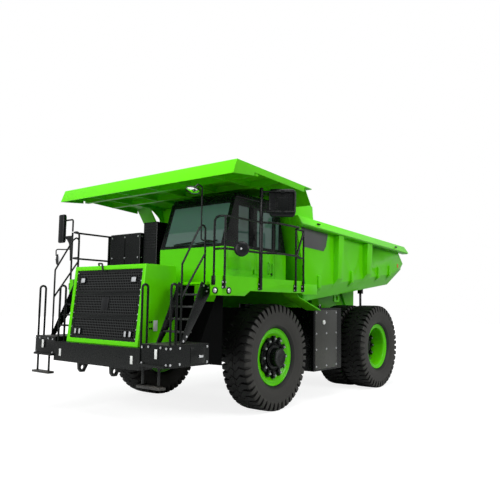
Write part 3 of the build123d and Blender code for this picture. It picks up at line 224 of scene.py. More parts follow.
def tread_plate_group() -> bpy.types.NodeTree:
    """Raised diagonal bars of anti-slip floor plate, on level faces.

    Returns:
        The shader group, with a Height output from 0 to 1.
    """
    graph, given, out = new_tree("TreadPlate", "ShaderNodeTree", [("Pitch", "Float")], [("Height", "Float")])
    place = graph.add("ShaderNodeTexCoord").outputs["Object"]
    split = graph.add("ShaderNodeSeparateXYZ", {0: place})
    heights = []
    for turn, shift in ((0.7854, 0.0), (-0.7854, 0.5)):
        u = graph.maths("ADD", graph.maths("MULTIPLY", split.outputs["X"], math.cos(turn)),
                        graph.maths("MULTIPLY", split.outputs["Y"], math.sin(turn)))
        v = graph.maths("SUBTRACT", graph.maths("MULTIPLY", split.outputs["Y"], math.cos(turn)),
                        graph.maths("MULTIPLY", split.outputs["X"], math.sin(turn)))
        ends = []
        for line, half, offset in ((u, 0.38, shift), (v, 0.13, shift)):
            cell = graph.maths("ADD", graph.maths("DIVIDE", line, given.outputs["Pitch"]), offset)
            gap = graph.maths("ABSOLUTE", graph.maths("SUBTRACT", graph.maths("FRACT", cell), 0.5))
            ends.append(graph.ramp(gap, half, half - 0.1))
        heights.append(graph.maths("MULTIPLY", ends[0], ends[1]))
    height = graph.maths("MAXIMUM", heights[0], heights[1])
    graph.tree.links.new(height, out.inputs["Height"])
    return graph.tree


class Shared:
    """The shader groups, each made once when it is first asked for."""

    makers = {"grime": grime_group, "grain": grain_group, "plate": tread_plate_group}
    made: dict[str, bpy.types.NodeTree] = {}

    @classmethod
    def get(cls, name: str) -> bpy.types.NodeTree:
        """A shader group, made if it isn't there yet.

        Args:
            name: grime, grain or plate.

        Returns:
            The group.
        """
        if name not in cls.made:
            cls.made[name] = cls.makers[name]()
        return cls.made[name]


# Finishes

@dataclass(frozen=True)
class Coated:
    """Paint, powder coat, cast metal or moulded plastic: a colour with dust, grain and gloss, and where asked a painted
    lighter tone on faces that look sideways, which stands in for side light.
    """

    name: str
    colour: Colour
    smooth: float = 0.32
    dull: float = 0.8
    dust: float = 0.3
    dust_and_side_light_colour: Colour = (0.36, 0.33, 0.27)
    metallic: float = 0.0
    coat: float = 0.0
    specular: float = 0.35
    grain_scale: float = 260.0
    coarse_scale: float = 90.0
    grain_height: float = 0.0004
    plate_pitch: float = 0.0
    plate_depth: float = 0.004
    bump: float = 0.9
    coat_roughness: float = 0.08
    # share of painted side light on faces that look sideways
    painted_side_light: float = 0.0

    def material(self) -> bpy.types.Material:
        """Builds the material.

        Returns:
            The new material.
        """
        made, graph, shader = blank(self.name)
        made.diffuse_color = (*self.colour, 1.0)
        grime = graph.add("ShaderNodeGroup", node_tree=Shared.get("grime"))
        for name, value in (("Paint", (*self.colour, 1.0)), ("Dust", (*self.dust_and_side_light_colour, 1.0)), ("Amount", self.dust),
                            ("Smooth", self.smooth), ("Dull", self.dull)):
            grime.inputs[name].default_value = value
        grain = graph.add("ShaderNodeGroup", node_tree=Shared.get("grain"))
        grain.inputs["Scale"].default_value = self.grain_scale
        grain.inputs["Coarse"].default_value = self.coarse_scale
        height, depth = grain.outputs["Height"], self.grain_height
        if self.plate_pitch:
            plate = graph.add("ShaderNodeGroup", node_tree=Shared.get("plate"))
            plate.inputs["Pitch"].default_value = self.plate_pitch
            height, depth = plate.outputs["Height"], self.plate_depth
        bump = graph.add("ShaderNodeBump", {"Height": height, "Distance": depth, "Strength": self.bump})
        links = made.node_tree.links
        colour = grime.outputs["Colour"]
        # Painted light: faces that look sideways along X are blended towards the dust colour, a lighter tone standing
        # in for light falling on them from the side.
        if self.painted_side_light:
            normal = graph.add("ShaderNodeTexCoord").outputs["Normal"]
            across = graph.add("ShaderNodeSeparateXYZ", {0: normal}).outputs["X"]
            facing = graph.ramp(graph.maths("ABSOLUTE", across), 0.55, 0.98)
            colour = graph.mix(graph.maths("MULTIPLY", facing, self.painted_side_light), colour, self.dust_and_side_light_colour)
        links.new(colour, shader.inputs["Base Color"])
        links.new(grime.outputs["Roughness"], shader.inputs["Roughness"])
        links.new(bump.outputs["Normal"], shader.inputs["Normal"])
        shader.inputs["Metallic"].default_value = self.metallic
        shader.inputs["Specular IOR Level"].default_value = self.specular
        shader.inputs["Coat Weight"].default_value = self.coat
        shader.inputs["Coat Roughness"].default_value = self.coat_roughness
        return made


@dataclass(frozen=True)
class Glazing:
    """Tinted glass."""

    name: str
    colour: Colour
    roughness: float = 0.02
    filmed: float = 0.07
    transmission: float = 0.42
    specular: float = 0.75
    index: float = 1.45

    def material(self) -> bpy.types.Material:
        """Builds the material.

        Returns:
            The new material.
        """
        made, graph, shader = blank(self.name)
        place = graph.add("ShaderNodeTexCoord").outputs["Object"]
        film = graph.add("ShaderNodeTexNoise", {"Vector": place, "Scale": 3.0, "Detail": 4.0})
        rough = graph.add("ShaderNodeMapRange", {0: film.outputs[0], 1: 0.3, 2: 0.8, 3: self.roughness, 4: self.filmed})
        made.node_tree.links.new(rough.outputs[0], shader.inputs["Roughness"])
        shader.inputs["Base Color"].default_value = (*self.colour, 1.0)
        shader.inputs["Transmission Weight"].default_value = self.transmission
        shader.inputs["Specular IOR Level"].default_value = self.specular
        shader.inputs["IOR"].default_value = self.index
        return made


@dataclass(frozen=True)
class Bright:
    """Bare or plated metal, a mirror's face, or a reflector, with faint wiping marks."""

    name: str
    colour: Colour
    roughness: float = 0.15
    metallic: float = 1.0
    glow: float = 0.0

    def material(self) -> bpy.types.Material:
        """Builds the material.

        Returns:
            The new material.
        """
        made, graph, shader = blank(self.name)
        place = graph.add("ShaderNodeTexCoord").outputs["Object"]
        marks = graph.add("ShaderNodeTexNoise", {"Vector": place, "Scale": 22.0, "Detail": 4.0})
        rough = graph.add("ShaderNodeMapRange", {0: marks.outputs[0], 1: 0.3, 2: 0.75, 3: self.roughness * 0.6,
                                                 4: self.roughness * 1.6})
        darker = tuple(value * 0.6 for value in self.colour)
        tint = graph.mix(graph.maths("MULTIPLY", marks.outputs[0], 0.2), self.colour, darker)
        made.node_tree.links.new(rough.outputs[0], shader.inputs["Roughness"])
        made.node_tree.links.new(tint, shader.inputs["Base Color"])
        shader.inputs["Metallic"].default_value = self.metallic
        if self.glow:
            shader.inputs["Emission Color"].default_value = (*self.colour, 1.0)
            shader.inputs["Emission Strength"].default_value = self.glow
        return made


class Finish(Enum):
    """Every finish on the truck."""

    GREEN = Coated("LimeGreenPaint", (0.115, 0.67, 0.0008), 0.30, 0.55, 0.03, coat=0.16, specular=0.10,
                   grain_scale=38.0, coarse_scale=60.0, grain_height=0.00025)
    BLACK = Coated("BlackPowderCoat", (0.0020, 0.0032, 0.0030), 0.26, 0.55, 0.03, specular=0.2, grain_scale=240.0,
                   grain_height=0.00006)
    GREY = Coated("ChassisGrey", (0.022, 0.024, 0.023), 0.42, 0.85, 0.35)
    COVER = Coated("CoverPlateGrey", (0.045, 0.047, 0.042), 0.36, 0.7, 0.25, metallic=0.25)
    CAST = Coated("CastDark", (0.02, 0.021, 0.021), 0.5, 0.9, 0.5, grain_scale=160.0, grain_height=0.0012)
    # Painted side light: the tyres' sidewalls are painted lighter than the tread. The same pale colour also serves as
    # their dust.
    RUBBER = Coated("TyreRubber", (0.0085, 0.009, 0.0086), 0.5, 0.9, 0.25, dust_and_side_light_colour=(0.060, 0.057, 0.051),
                    painted_side_light=0.45, specular=0.25, grain_scale=190.0, coarse_scale=55.0, grain_height=0.0009)
    PLASTIC = Coated("MouldedPlastic", (0.0032, 0.0038, 0.0048), 0.34, 0.65, 0.03, specular=0.22, grain_scale=300.0,
                     grain_height=0.00006)
    PLATE_GREY = Coated("BlankPlateGrey", (0.085, 0.085, 0.09), 0.4, 0.7, 0.1)
    MESH = Coated("MeshBlack", (0.012, 0.014, 0.014), 0.3, 0.6, 0.05, specular=0.45, grain_scale=240.0,
                  grain_height=0.00006)
    # Near-black matte: the inner fenders' colour and a seam's, and painted shade behind the grille and in the rail's
    # slots.
    LINER_AND_SHADE = Coated("DarkLinerAndShade", (0.0012, 0.0014, 0.0014), 0.8, 0.95, 0.0, specular=0.05)
    PLATE = Coated("TreadPlateBlack", (0.014, 0.015, 0.015), 0.38, 0.8, 0.3, plate_pitch=0.055)
    CLOTH = Coated("CushionCloth", (0.03, 0.031, 0.036), 0.8, 0.95, 0.15, grain_scale=700.0, coarse_scale=380.0,
                  grain_height=0.0015)
    STEEL = Bright("ZincSteel", (0.55, 0.56, 0.57), 0.32)
    CHROME = Bright("RodChrome", (0.78, 0.79, 0.8), 0.1)
    MIRROR = Bright("MirrorFace", (0.86, 0.88, 0.9), 0.03)
    LENS = Bright("LampLens", (0.60, 0.62, 0.64), 0.18, metallic=0.35, glow=0.04)
    WHITE = Bright("PaleReflector", (0.8, 0.82, 0.8), 0.3, metallic=0.0)
    RED = Bright("RedLens", (0.55, 0.012, 0.01), 0.15, metallic=0.0)
    AMBER = Bright("AmberLens", (0.75, 0.16, 0.01), 0.15, metallic=0.0)
    GLASS = Glazing("TintedGlass", (0.13, 0.235, 0.205))

    @property
    def material(self) -> bpy.types.Material:
        """This finish's material, made once."""
        return bpy.data.materials.get(self.value.name) or self.value.material()


# Shapes

class Form:
    """A mesh that is being built, in metres, with the front axle's line at y zero."""

    def __init__(self) -> None:
        """Starts an empty mesh."""
        self.mesh = bmesh.new()

    def loop(self, points: list[Point]) -> list[bmesh.types.BMVert]:
        """Adds loose corners.

        Args:
            points: their places.

        Returns:
            The new corners.
        """
        return [self.mesh.verts.new(p) for p in points]

    def skin(self, rings: list[list[Point]], closed: bool = True, caps: bool = True, around: bool = False) -> "Form":
        """Joins rings of equally many corners with faces.

        Args:
            rings: the rings, in order.
            closed: whether each ring's last corner joins its first.
            caps: whether the first and last ring get a face.
            around: whether the last ring joins the first.

        Returns:
            This form.
        """
        made = [self.loop(ring) for ring in rings]
        pairs = list(zip(made, made[1:])) + ([(made[-1], made[0])] if around else [])
        count = len(made[0])
        for a, b in pairs:
            for i in range(count if closed else count - 1):
                j = (i + 1) % count
                self.mesh.faces.new((a[i], a[j], b[j], b[i]))
        if caps and not around:
            self.mesh.faces.new(list(reversed(made[0])))
            self.mesh.faces.new(made[-1])
        return self

    def prism(self, outline: Profile, along: Along, start: float, end: float) -> "Form":
        """A flat outline carried along an axis.

        Args:
            outline: its corners, in the order X, Y, Z of the other two axes.
            along: the axis it runs along.
            start: where it begins.
            end: where it ends.

        Returns:
            This form.
        """
        rings = []
        for depth in (start, end):
            ring = []
            for a, b in outline:
                corner = [a, b]
                corner.insert(along.value, depth)
                ring.append(tuple(corner))
            rings.append(ring)
        return self.skin(rings)

    def box(self, x: Span, y: Span, z: Span) -> "Form":
        """A box between two values on each axis."""
        return self.prism([(y[0], z[0]), (y[1], z[0]), (y[1], z[1]), (y[0], z[1])], Along.X, *x)

    def frame(self, outer: Rectangle, inner: Rectangle, z: Span, walled: bool = True) -> "Form":
        """A flat rectangular frame in X and Y.

        Args:
            outer: its outer x0, x1, y0 and y1.
            inner: its hole's x0, x1, y0 and y1.
            z: its back and front.
            walled: whether it has its outer sides.

        Returns:
            This form.
        """
        rings = [[(x0, y0, height), (x1, y0, height), (x1, y1, height), (x0, y1, height)]
                 for (x0, x1, y0, y1), height in ((outer, z[1]), (inner, z[1]), (inner, z[0]), (outer, z[0]))]
        return self.skin(rings, caps=False, around=walled)

    def turned(self, profile: Profile, sides: int, along: Along = Along.X, centre: Point = (0.0, 0.0, 0.0),
               closed: bool = False) -> "Form":
        """A profile turned about an axis.

        Args:
            profile: (place along the axis, radius) pairs.
            sides: how many sides the turned shape has.
            along: the axis.
            centre: a point on the axis.
            closed: whether the profile's last point joins its first, which leaves a hole in the middle.

        Returns:
            This form.
        """
        rings = []
        for i in range(sides):
            angle = 2 * math.pi * (i + 0.5) / sides
            ring = []
            for depth, radius in profile:
                corner = [radius * math.cos(angle), radius * math.sin(angle)]
                corner.insert(along.value, depth)
                ring.append(tuple(c + o for c, o in zip(corner, centre)))
            rings.append(ring)
        return self.skin(rings, closed=closed, caps=False, around=True)

    def moved(self, matrix: Matrix) -> "Form":
        """Moves or turns everything built so far."""
        self.mesh.transform(matrix)
        return self

    def mirrored(self, side: Side) -> "Form":
        """Leaves a left form as it is, or turns it into the right one.

        Args:
            side: the side that the form is for.

        Returns:
            This form.
        """
        if side is Side.RIGHT:
            self.mesh.transform(Matrix.Scale(-1, 4, (1, 0, 0)))
        return self

    def twin(self) -> "Form":
        """Adds the mirror image across the truck's middle.

        Returns:
            This form.
        """
        copy = bmesh.ops.duplicate(self.mesh, geom=self.mesh.verts[:] + self.mesh.edges[:] + self.mesh.faces[:])
        verts = [item for item in copy["geom"] if isinstance(item, bmesh.types.BMVert)]
        bmesh.ops.scale(self.mesh, vec=(-1, 1, 1), verts=verts)
        return self


HOOD_FACE = Matrix(((1, 0, 0, 0), (0, 0.0995, -0.995, -2.780), (0, 0.995, 0.0995, 1.300), (0, 0, 0, 1)))


def placed(name: str, data: bpy.types.ID) -> bpy.types.Object:
    """Makes an object and links it to the scene.

    Args:
        name: its name.
        data: its mesh, lamp or camera.

    Returns:
        The new object.
    """
    made = bpy.data.objects.new(name, data)
    bpy.context.scene.collection.objects.link(made)
    return made


def solid(name: str, mesh: bmesh.types.BMesh) -> bpy.types.Object:
    """Makes an object of a mesh, and frees the mesh.

    Args:
        name: the object's name.
        mesh: the mesh that was built.

    Returns:
        The new object.
    """
    data = bpy.data.meshes.new(name)
    mesh.to_mesh(data)
    mesh.free()
    return placed(name, data)


@dataclass
class Bench:
    """Turns forms into finished pieces that ride on the truck's bodies."""

    nodes: dict[str, bpy.types.Object]
    trees: dict[str, bpy.types.NodeTree] = field(default_factory=dict)
    made: list[str] = field(default_factory=list)
    flat: float = math.radians(1.0)
    corner: float = 25.0
    split_faces: tuple[str, ...] = ("body_sides",)  # ribs notch its flat faces too deeply to be one face each

    def object_of(self, name: str, form: Form, heal: bool = True) -> bpy.types.Object:
        """Makes a Blender object of a form, in the truck's own frame.

        Args:
            name: the object's name.
            form: the mesh built so far.
            heal: whether doubles are merged and faces turned outwards.

        Returns:
            The new object.
        """
        if heal:
            bmesh.ops.remove_doubles(form.mesh, verts=form.mesh.verts[:], dist=1e-5)
            bmesh.ops.recalc_face_normals(form.mesh, faces=form.mesh.faces[:])
        form.mesh.transform(Matrix.Translation(FRONT_AXLE))
        return solid(name, form.mesh)

    def settle(self, made: bpy.types.Object) -> None:
        """Applies an object's modifiers, so that none is left.

        Args:
            made: the object.
        """
        bpy.context.view_layer.update()
        seen = made.evaluated_get(bpy.context.evaluated_depsgraph_get())
        data = bpy.data.meshes.new_from_object(seen)
        old = made.data
        made.modifiers.clear()
        made.data = data
        data.name = made.name
        bpy.data.meshes.remove(old)

    def finish(self, made: bpy.types.Object, body: str, slot: str, finish: Finish | None,
               replaces: tuple[str, ...] = (), bevel: float = 0.0, sharp: float = 32.0, segments: int = 2) -> None:
        """Bevels, paints and hands over one piece.

        Args:
            made: the object.
            body: the body that it rides on.
            slot: not used.
            finish: its finish, or None where its faces already have theirs.
            replaces: the model's pieces that it stands for.
            bevel: the width of its edges' rounding.
            sharp: the angle above which an edge stays sharp, in degrees.
            segments: how many faces round an edge.
        """
        if bevel:
            edge = made.modifiers.new("Edges", "BEVEL")
            edge.width = bevel
            edge.segments = segments
            edge.limit_method = "ANGLE"
            edge.angle_limit = math.radians(sharp)
            self.settle(made)
        if finish is not None:
            made.data.materials.clear()
            made.data.materials.append(finish.material)
        made.data.shade_smooth()
        made.data.set_sharp_from_angle(angle=math.radians(sharp))
        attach(made, body)
        if replaces:
            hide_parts(*replaces)
        self.made.append(made.name)
        LOG.info("%s on %s: %d faces", made.name, body, len(made.data.polygons))

    def piece(self, name: str, form: Form, body: str = "chassis", slot: str = "black_paint",
              finish: Finish = Finish.BLACK, replaces: tuple[str, ...] = (), bevel: float = 0.0, sharp: float = 32.0,
              segments: int = 2) -> bpy.types.Object:
        """Makes, bevels, paints and hands over one form.

        Args:
            name: the piece's name.
            form: its mesh.
            body: the body that it rides on.
            slot: a slot name, handed on to finish.
            finish: its finish.
            replaces: the model's pieces that it stands for.
            bevel: the width of its edges' rounding.
            sharp: the angle above which an edge stays sharp, in degrees.
            segments: how many faces round an edge.

        Returns:
            The piece.
        """
        made = self.object_of(name, form)
        self.finish(made, body, slot, finish, replaces, bevel, sharp, segments)
        return made

    def grown(self, name: str, form: Form, tree: str, values: dict[str, object], body: str = "chassis",
              slot: str = "black_paint", finish: Finish = Finish.BLACK, replaces: tuple[str, ...] = (),
              place: Matrix | None = None) -> bpy.types.Object:
        """Makes a piece by geometry nodes.

        Args:
            name: the piece's name.
            form: what the tree starts from.
            tree: which tree.
            values: the tree's inputs by name.
            body: the body that it rides on.
            slot: a slot name, handed on to finish.
            finish: its finish.
            replaces: the model's pieces that it stands for.
            place: a move for the result, where the tree works about the origin.

        Returns:
            The piece.
        """
        if place is not None:
            form.moved(Matrix.Translation(-FRONT_AXLE))
        made = self.object_of(name, form, heal=False)
        group = self.tree(tree)
        change = made.modifiers.new("Grow", "NODES")
        change.node_group = group
        for socket in group.interface.items_tree:
            if socket.in_out == "INPUT" and socket.name in values:
                change[socket.identifier] = values[socket.name]
            elif socket.in_out == "INPUT" and socket.name == "Material":
                change[socket.identifier] = finish.material
        self.settle(made)
        if place is not None:
            made.data.transform(Matrix.Translation(FRONT_AXLE) @ place)
        self.finish(made, body, slot, finish, replaces)
        return made

    def tubes(self, name: str, runs: list[list[Point]], radius: float, bend: float, sides: int = 12,
              body: str = "chassis", slot: str = "black_paint", finish: Finish = Finish.BLACK,
              replaces: tuple[str, ...] = ()) -> None:
        """Makes a piece of bent tubes.

        Args:
            name: the piece's name.
            runs: each tube's corners.
            radius: the tube's radius.
            bend: the radius of its bends.
            sides: how many sides it has.
            body: the body that it rides on.
            slot: a slot name, handed on to grown.
            finish: its finish.
            replaces: the model's pieces that it stands for.
        """
        self.grown(name, paths_form(runs), "tubes", {"Radius": radius, "Bend": bend, "Sides": sides}, body, slot,
                   finish, replaces)

    def bolts(self, name: str, spots: list[tuple[Point, Point]], radius: float, height: float,
              finish: Finish = Finish.STEEL) -> None:
        """Makes a piece of hexagon bolt heads on the chassis.

        Args:
            name: the piece's name.
            spots: each head's place and direction.
            radius: the head's radius.
            height: how far it stands out.
            finish: its finish.
        """
        self.grown(name, points_form(spots), "bolts", {"Radius": radius, "Height": height}, finish=finish)

    def tree(self, name: str) -> bpy.types.NodeTree:
        """A geometry tree, made once.

        Args:
            name: ring, tubes, bolts or lattice.

        Returns:
            The tree.
        """
        if name not in self.trees:
            self.trees[name] = {"ring": ring_tree, "tubes": tube_tree, "bolts": bolt_tree,
                                "lattice": lattice_tree}[name]()
        return self.trees[name]

    def copied(self, node: str) -> bmesh.types.BMesh:
        """Copies the mesh of one of the model's pieces, with its doubles merged.

        Args:
            node: the model's piece.

        Returns:
            The copy.
        """
        mesh = bmesh.new()
        mesh.from_mesh(self.nodes[node].data)
        bmesh.ops.remove_doubles(mesh, verts=mesh.verts[:], dist=2e-5)
        return mesh

    def softened(self, node: str, body: str, slot: str, finish: Finish, width: float = 0.006) -> None:
        """Stands a copy with rounded edges in place of one of the model's pieces.

        Args:
            node: the model's piece.
            body: the body that it rides on.
            slot: a slot name, handed on to finish.
            finish: its finish.
            width: the width of the rounding.
        """
        mesh = self.copied(node)
        bmesh.ops.join_triangles(mesh, faces=mesh.faces[:], angle_face_threshold=self.flat,
                                 angle_shape_threshold=math.pi)
        if node not in self.split_faces:
            bmesh.ops.dissolve_limit(mesh, angle_limit=self.flat, verts=mesh.verts[:], edges=mesh.edges[:])
        self.finish(solid(node + "_dressed", mesh), body, slot, finish, (node,), bevel=width, sharp=self.corner)

    def banded(self, node: str, body: str, height: float, lower: tuple[str, Finish], upper: tuple[str, Finish],
               width: float) -> None:
        """Stands two copies of a piece, cut at a height, in its place, each with its own finish.

        Args:
            node: the model's piece.
            body: the body that it rides on.
            height: where the finish changes.
            lower: the slot and finish below it.
            upper: the slot and finish above it.
            width: the width of the edges' rounding.
        """
        for label, part, up in (("lower", lower, True), ("upper", upper, False)):
            mesh = self.copied(node)
            geometry = mesh.verts[:] + mesh.edges[:] + mesh.faces[:]
            cut = bmesh.ops.bisect_plane(mesh, geom=geometry, plane_co=(0, 0, height), plane_no=(0, 0, 1),
                                         clear_outer=up, clear_inner=not up)
            edges = [item for item in cut["geom_cut"] if isinstance(item, bmesh.types.BMEdge)]
            bmesh.ops.holes_fill(mesh, edges=edges)
            bmesh.ops.dissolve_limit(mesh, angle_limit=self.flat, verts=mesh.verts[:], edges=mesh.edges[:])
            bmesh.ops.recalc_face_normals(mesh, faces=mesh.faces[:])
            self.finish(solid(f"{node}_{label}", mesh), body, *part, (node,), bevel=width, sharp=self.corner)

    def painted(self, node: str, finish: Finish) -> None:
        """Gives one of the model's own pieces its material.

        Args:
            node: the model's piece.
            finish: its finish.
        """
        data = self.nodes[node].data
        data.materials.clear()
        data.materials.append(finish.material)


def start_tree(name: str, inputs: list[tuple[str, str]]) -> tuple[Graph, bpy.types.Node, bpy.types.Node]:
    """Starts a geometry tree that takes a geometry and a material and gives a geometry.

    Args:
        name: the tree's name.
        inputs: names and kinds of its other inputs.

    Returns:
        The graph, its input node and its output node.
    """
    return new_tree(name, "GeometryNodeTree", [("Geometry", "Geometry"), *inputs, ("Material", "Material")],
                    [("Geometry", "Geometry")])


def end_tree(graph: Graph, given: bpy.types.Node, out: bpy.types.Node, last: bpy.types.Node,
             merge: bool = False) -> bpy.types.NodeTree:
    """Ends a geometry tree: makes its copies real, merges doubles where asked, and sets the material.

    Args:
        graph: the tree's graph.
        given: its input node.
        out: its output node.
        last: the node that gives the shape.
        merge: whether doubles are merged.

    Returns:
        The geometry tree.
    """
    last = graph.add("GeometryNodeRealizeInstances", {"Geometry": last.outputs[0]})
    if merge:
        last = graph.add("GeometryNodeMergeByDistance", {"Geometry": last.outputs[0], "Distance": 1e-5})
    last = graph.add("GeometryNodeSetMaterial", {"Geometry": last.outputs[0], "Material": given.outputs["Material"]})
    graph.tree.links.new(last.outputs[0], out.inputs[0])
    return graph.tree


def ring_tree() -> bpy.types.NodeTree:
    """Repeats a shape about the X axis.

    Returns:
        The geometry tree.
    """
    graph, given, out = start_tree("RepeatRound", [("Count", "Int")])
    points = graph.add("GeometryNodePoints", {"Count": given.outputs["Count"]})
    index = graph.add("GeometryNodeInputIndex").outputs[0]
    step = graph.maths("DIVIDE", 2 * math.pi, given.outputs["Count"])
    turn = graph.add("ShaderNodeCombineXYZ", {"X": graph.maths("MULTIPLY", index, step)})
    spin = graph.add("FunctionNodeEulerToRotation", {0: turn.outputs[0]})
    copies = graph.add("GeometryNodeInstanceOnPoints",
                       {"Points": points.outputs[0], "Instance": given.outputs["Geometry"],
                        "Rotation": spin.outputs[0]})
    return end_tree(graph, given, out, copies, merge=True)


def tube_tree() -> bpy.types.NodeTree:
    """Makes round tube with rounded bends along every chain of edges.

    Returns:
        The geometry tree.
    """
    graph, given, out = start_tree("TubeAlongEdges", [("Radius", "Float"), ("Bend", "Float"), ("Sides", "Int")])
    line = graph.add("GeometryNodeMeshToCurve", {"Mesh": given.outputs["Geometry"]})
    bent = graph.add("GeometryNodeFilletCurve", {"Curve": line.outputs[0], "Radius": given.outputs["Bend"],
                                                 "Limit Radius": True}, mode="POLY")
    bent.inputs["Count"].default_value = 6
    ring = graph.add("GeometryNodeCurvePrimitiveCircle", {"Resolution": given.outputs["Sides"],
                                                          "Radius": given.outputs["Radius"]})
    tube = graph.add("GeometryNodeCurveToMesh", {"Curve": bent.outputs[0], "Profile Curve": ring.outputs[0],
                                                 "Fill Caps": True})
    return end_tree(graph, given, out, tube)


def bolt_tree() -> bpy.types.NodeTree:
    """Stands a hexagon head on a washer at every point, along the point's aim.

    Returns:
        The geometry tree.
    """
    graph, given, out = start_tree("HexBolts", [("Radius", "Float"), ("Height", "Float")])
    parts = []
    for sides, wide, tall in ((6, 1.0, 1.0), (12, 1.45, 0.3)):
        radius = graph.maths("MULTIPLY", given.outputs["Radius"], wide)
        depth = graph.maths("MULTIPLY", given.outputs["Height"], tall)
        head = graph.add("GeometryNodeMeshCylinder", {"Vertices": sides, "Radius": radius, "Depth": depth})
        lift = graph.add("ShaderNodeCombineXYZ", {"Z": graph.maths("MULTIPLY", depth, 0.5)})
        parts.append(graph.add("GeometryNodeTransform", {"Geometry": head.outputs["Mesh"],
                                                         "Translation": lift.outputs[0]}))
    both = graph.add("GeometryNodeJoinGeometry")
    for part in reversed(parts):
        graph.tree.links.new(part.outputs[0], both.inputs[0])
    aim = graph.add("GeometryNodeInputNamedAttribute", {"Name": "aim"}, data_type="FLOAT_VECTOR")
    spin = graph.add("FunctionNodeAlignRotationToVector", {"Vector": aim.outputs[0]}, axis="Z")
    copies = graph.add("GeometryNodeInstanceOnPoints",
                       {"Points": given.outputs["Geometry"], "Instance": both.outputs[0],
                        "Rotation": spin.outputs[0]})
    return end_tree(graph, given, out, copies)


def lattice_tree() -> bpy.types.NodeTree:
    """Repeats a cell over a flat grid in X and Y.

    Returns:
        The geometry tree.
    """
    graph, given, out = start_tree("CellLattice", [("Columns", "Int"), ("Rows", "Int"), ("Pitch", "Float")])
    spans = [graph.maths("MULTIPLY", graph.maths("SUBTRACT", given.outputs[name], 1.0), given.outputs["Pitch"])
             for name in ("Columns", "Rows")]
    grid = graph.add("GeometryNodeMeshGrid", {"Size X": spans[0], "Size Y": spans[1],
                                              "Vertices X": given.outputs["Columns"],
                                              "Vertices Y": given.outputs["Rows"]})
    copies = graph.add("GeometryNodeInstanceOnPoints", {"Points": grid.outputs[0],
                                                        "Instance": given.outputs["Geometry"]})
    return end_tree(graph, given, out, copies, merge=True)


def paths_form(runs: list[list[Point]]) -> Form:
    """Chains of edges for the tube tree.

    Args:
        runs: each run's points.

    Returns:
        The form.
    """
    form = Form()
    for run in runs:
        corners = form.loop(run)
        for a, b in zip(corners, corners[1:]):
            form.mesh.edges.new((a, b))
    return form


def points_form(spots: list[tuple[Point, Point]]) -> Form:
    """Loose points with an aim for the bolt tree.

    Args:
        spots: (place, direction) pairs.

    Returns:
        The form.
    """
    form = Form()
    layer = form.mesh.verts.layers.float_vector.new("aim")
    for place, aim in spots:
        form.mesh.verts.new(place)[layer] = aim
    return form


def mirrored_spots(spots: list[tuple[Point, Point]]) -> list[tuple[Point, Point]]:
    """The spots and their mirror images across the truck's middle."""
    return spots + [((-p[0], p[1], p[2]), (-d[0], d[1], d[2])) for p, d in spots]


def spaced(start: float, end: float, count: int) -> list[float]:
    """Count values from start to end, evenly apart."""
    return [start + (end - start) * i / max(1, count - 1) for i in range(count)]


def across(place: Point, side: Side) -> Point:
    """A left place as it is, or its mirror image on the right."""
    return (place[0] * side.value, place[1], place[2])


# Wheels

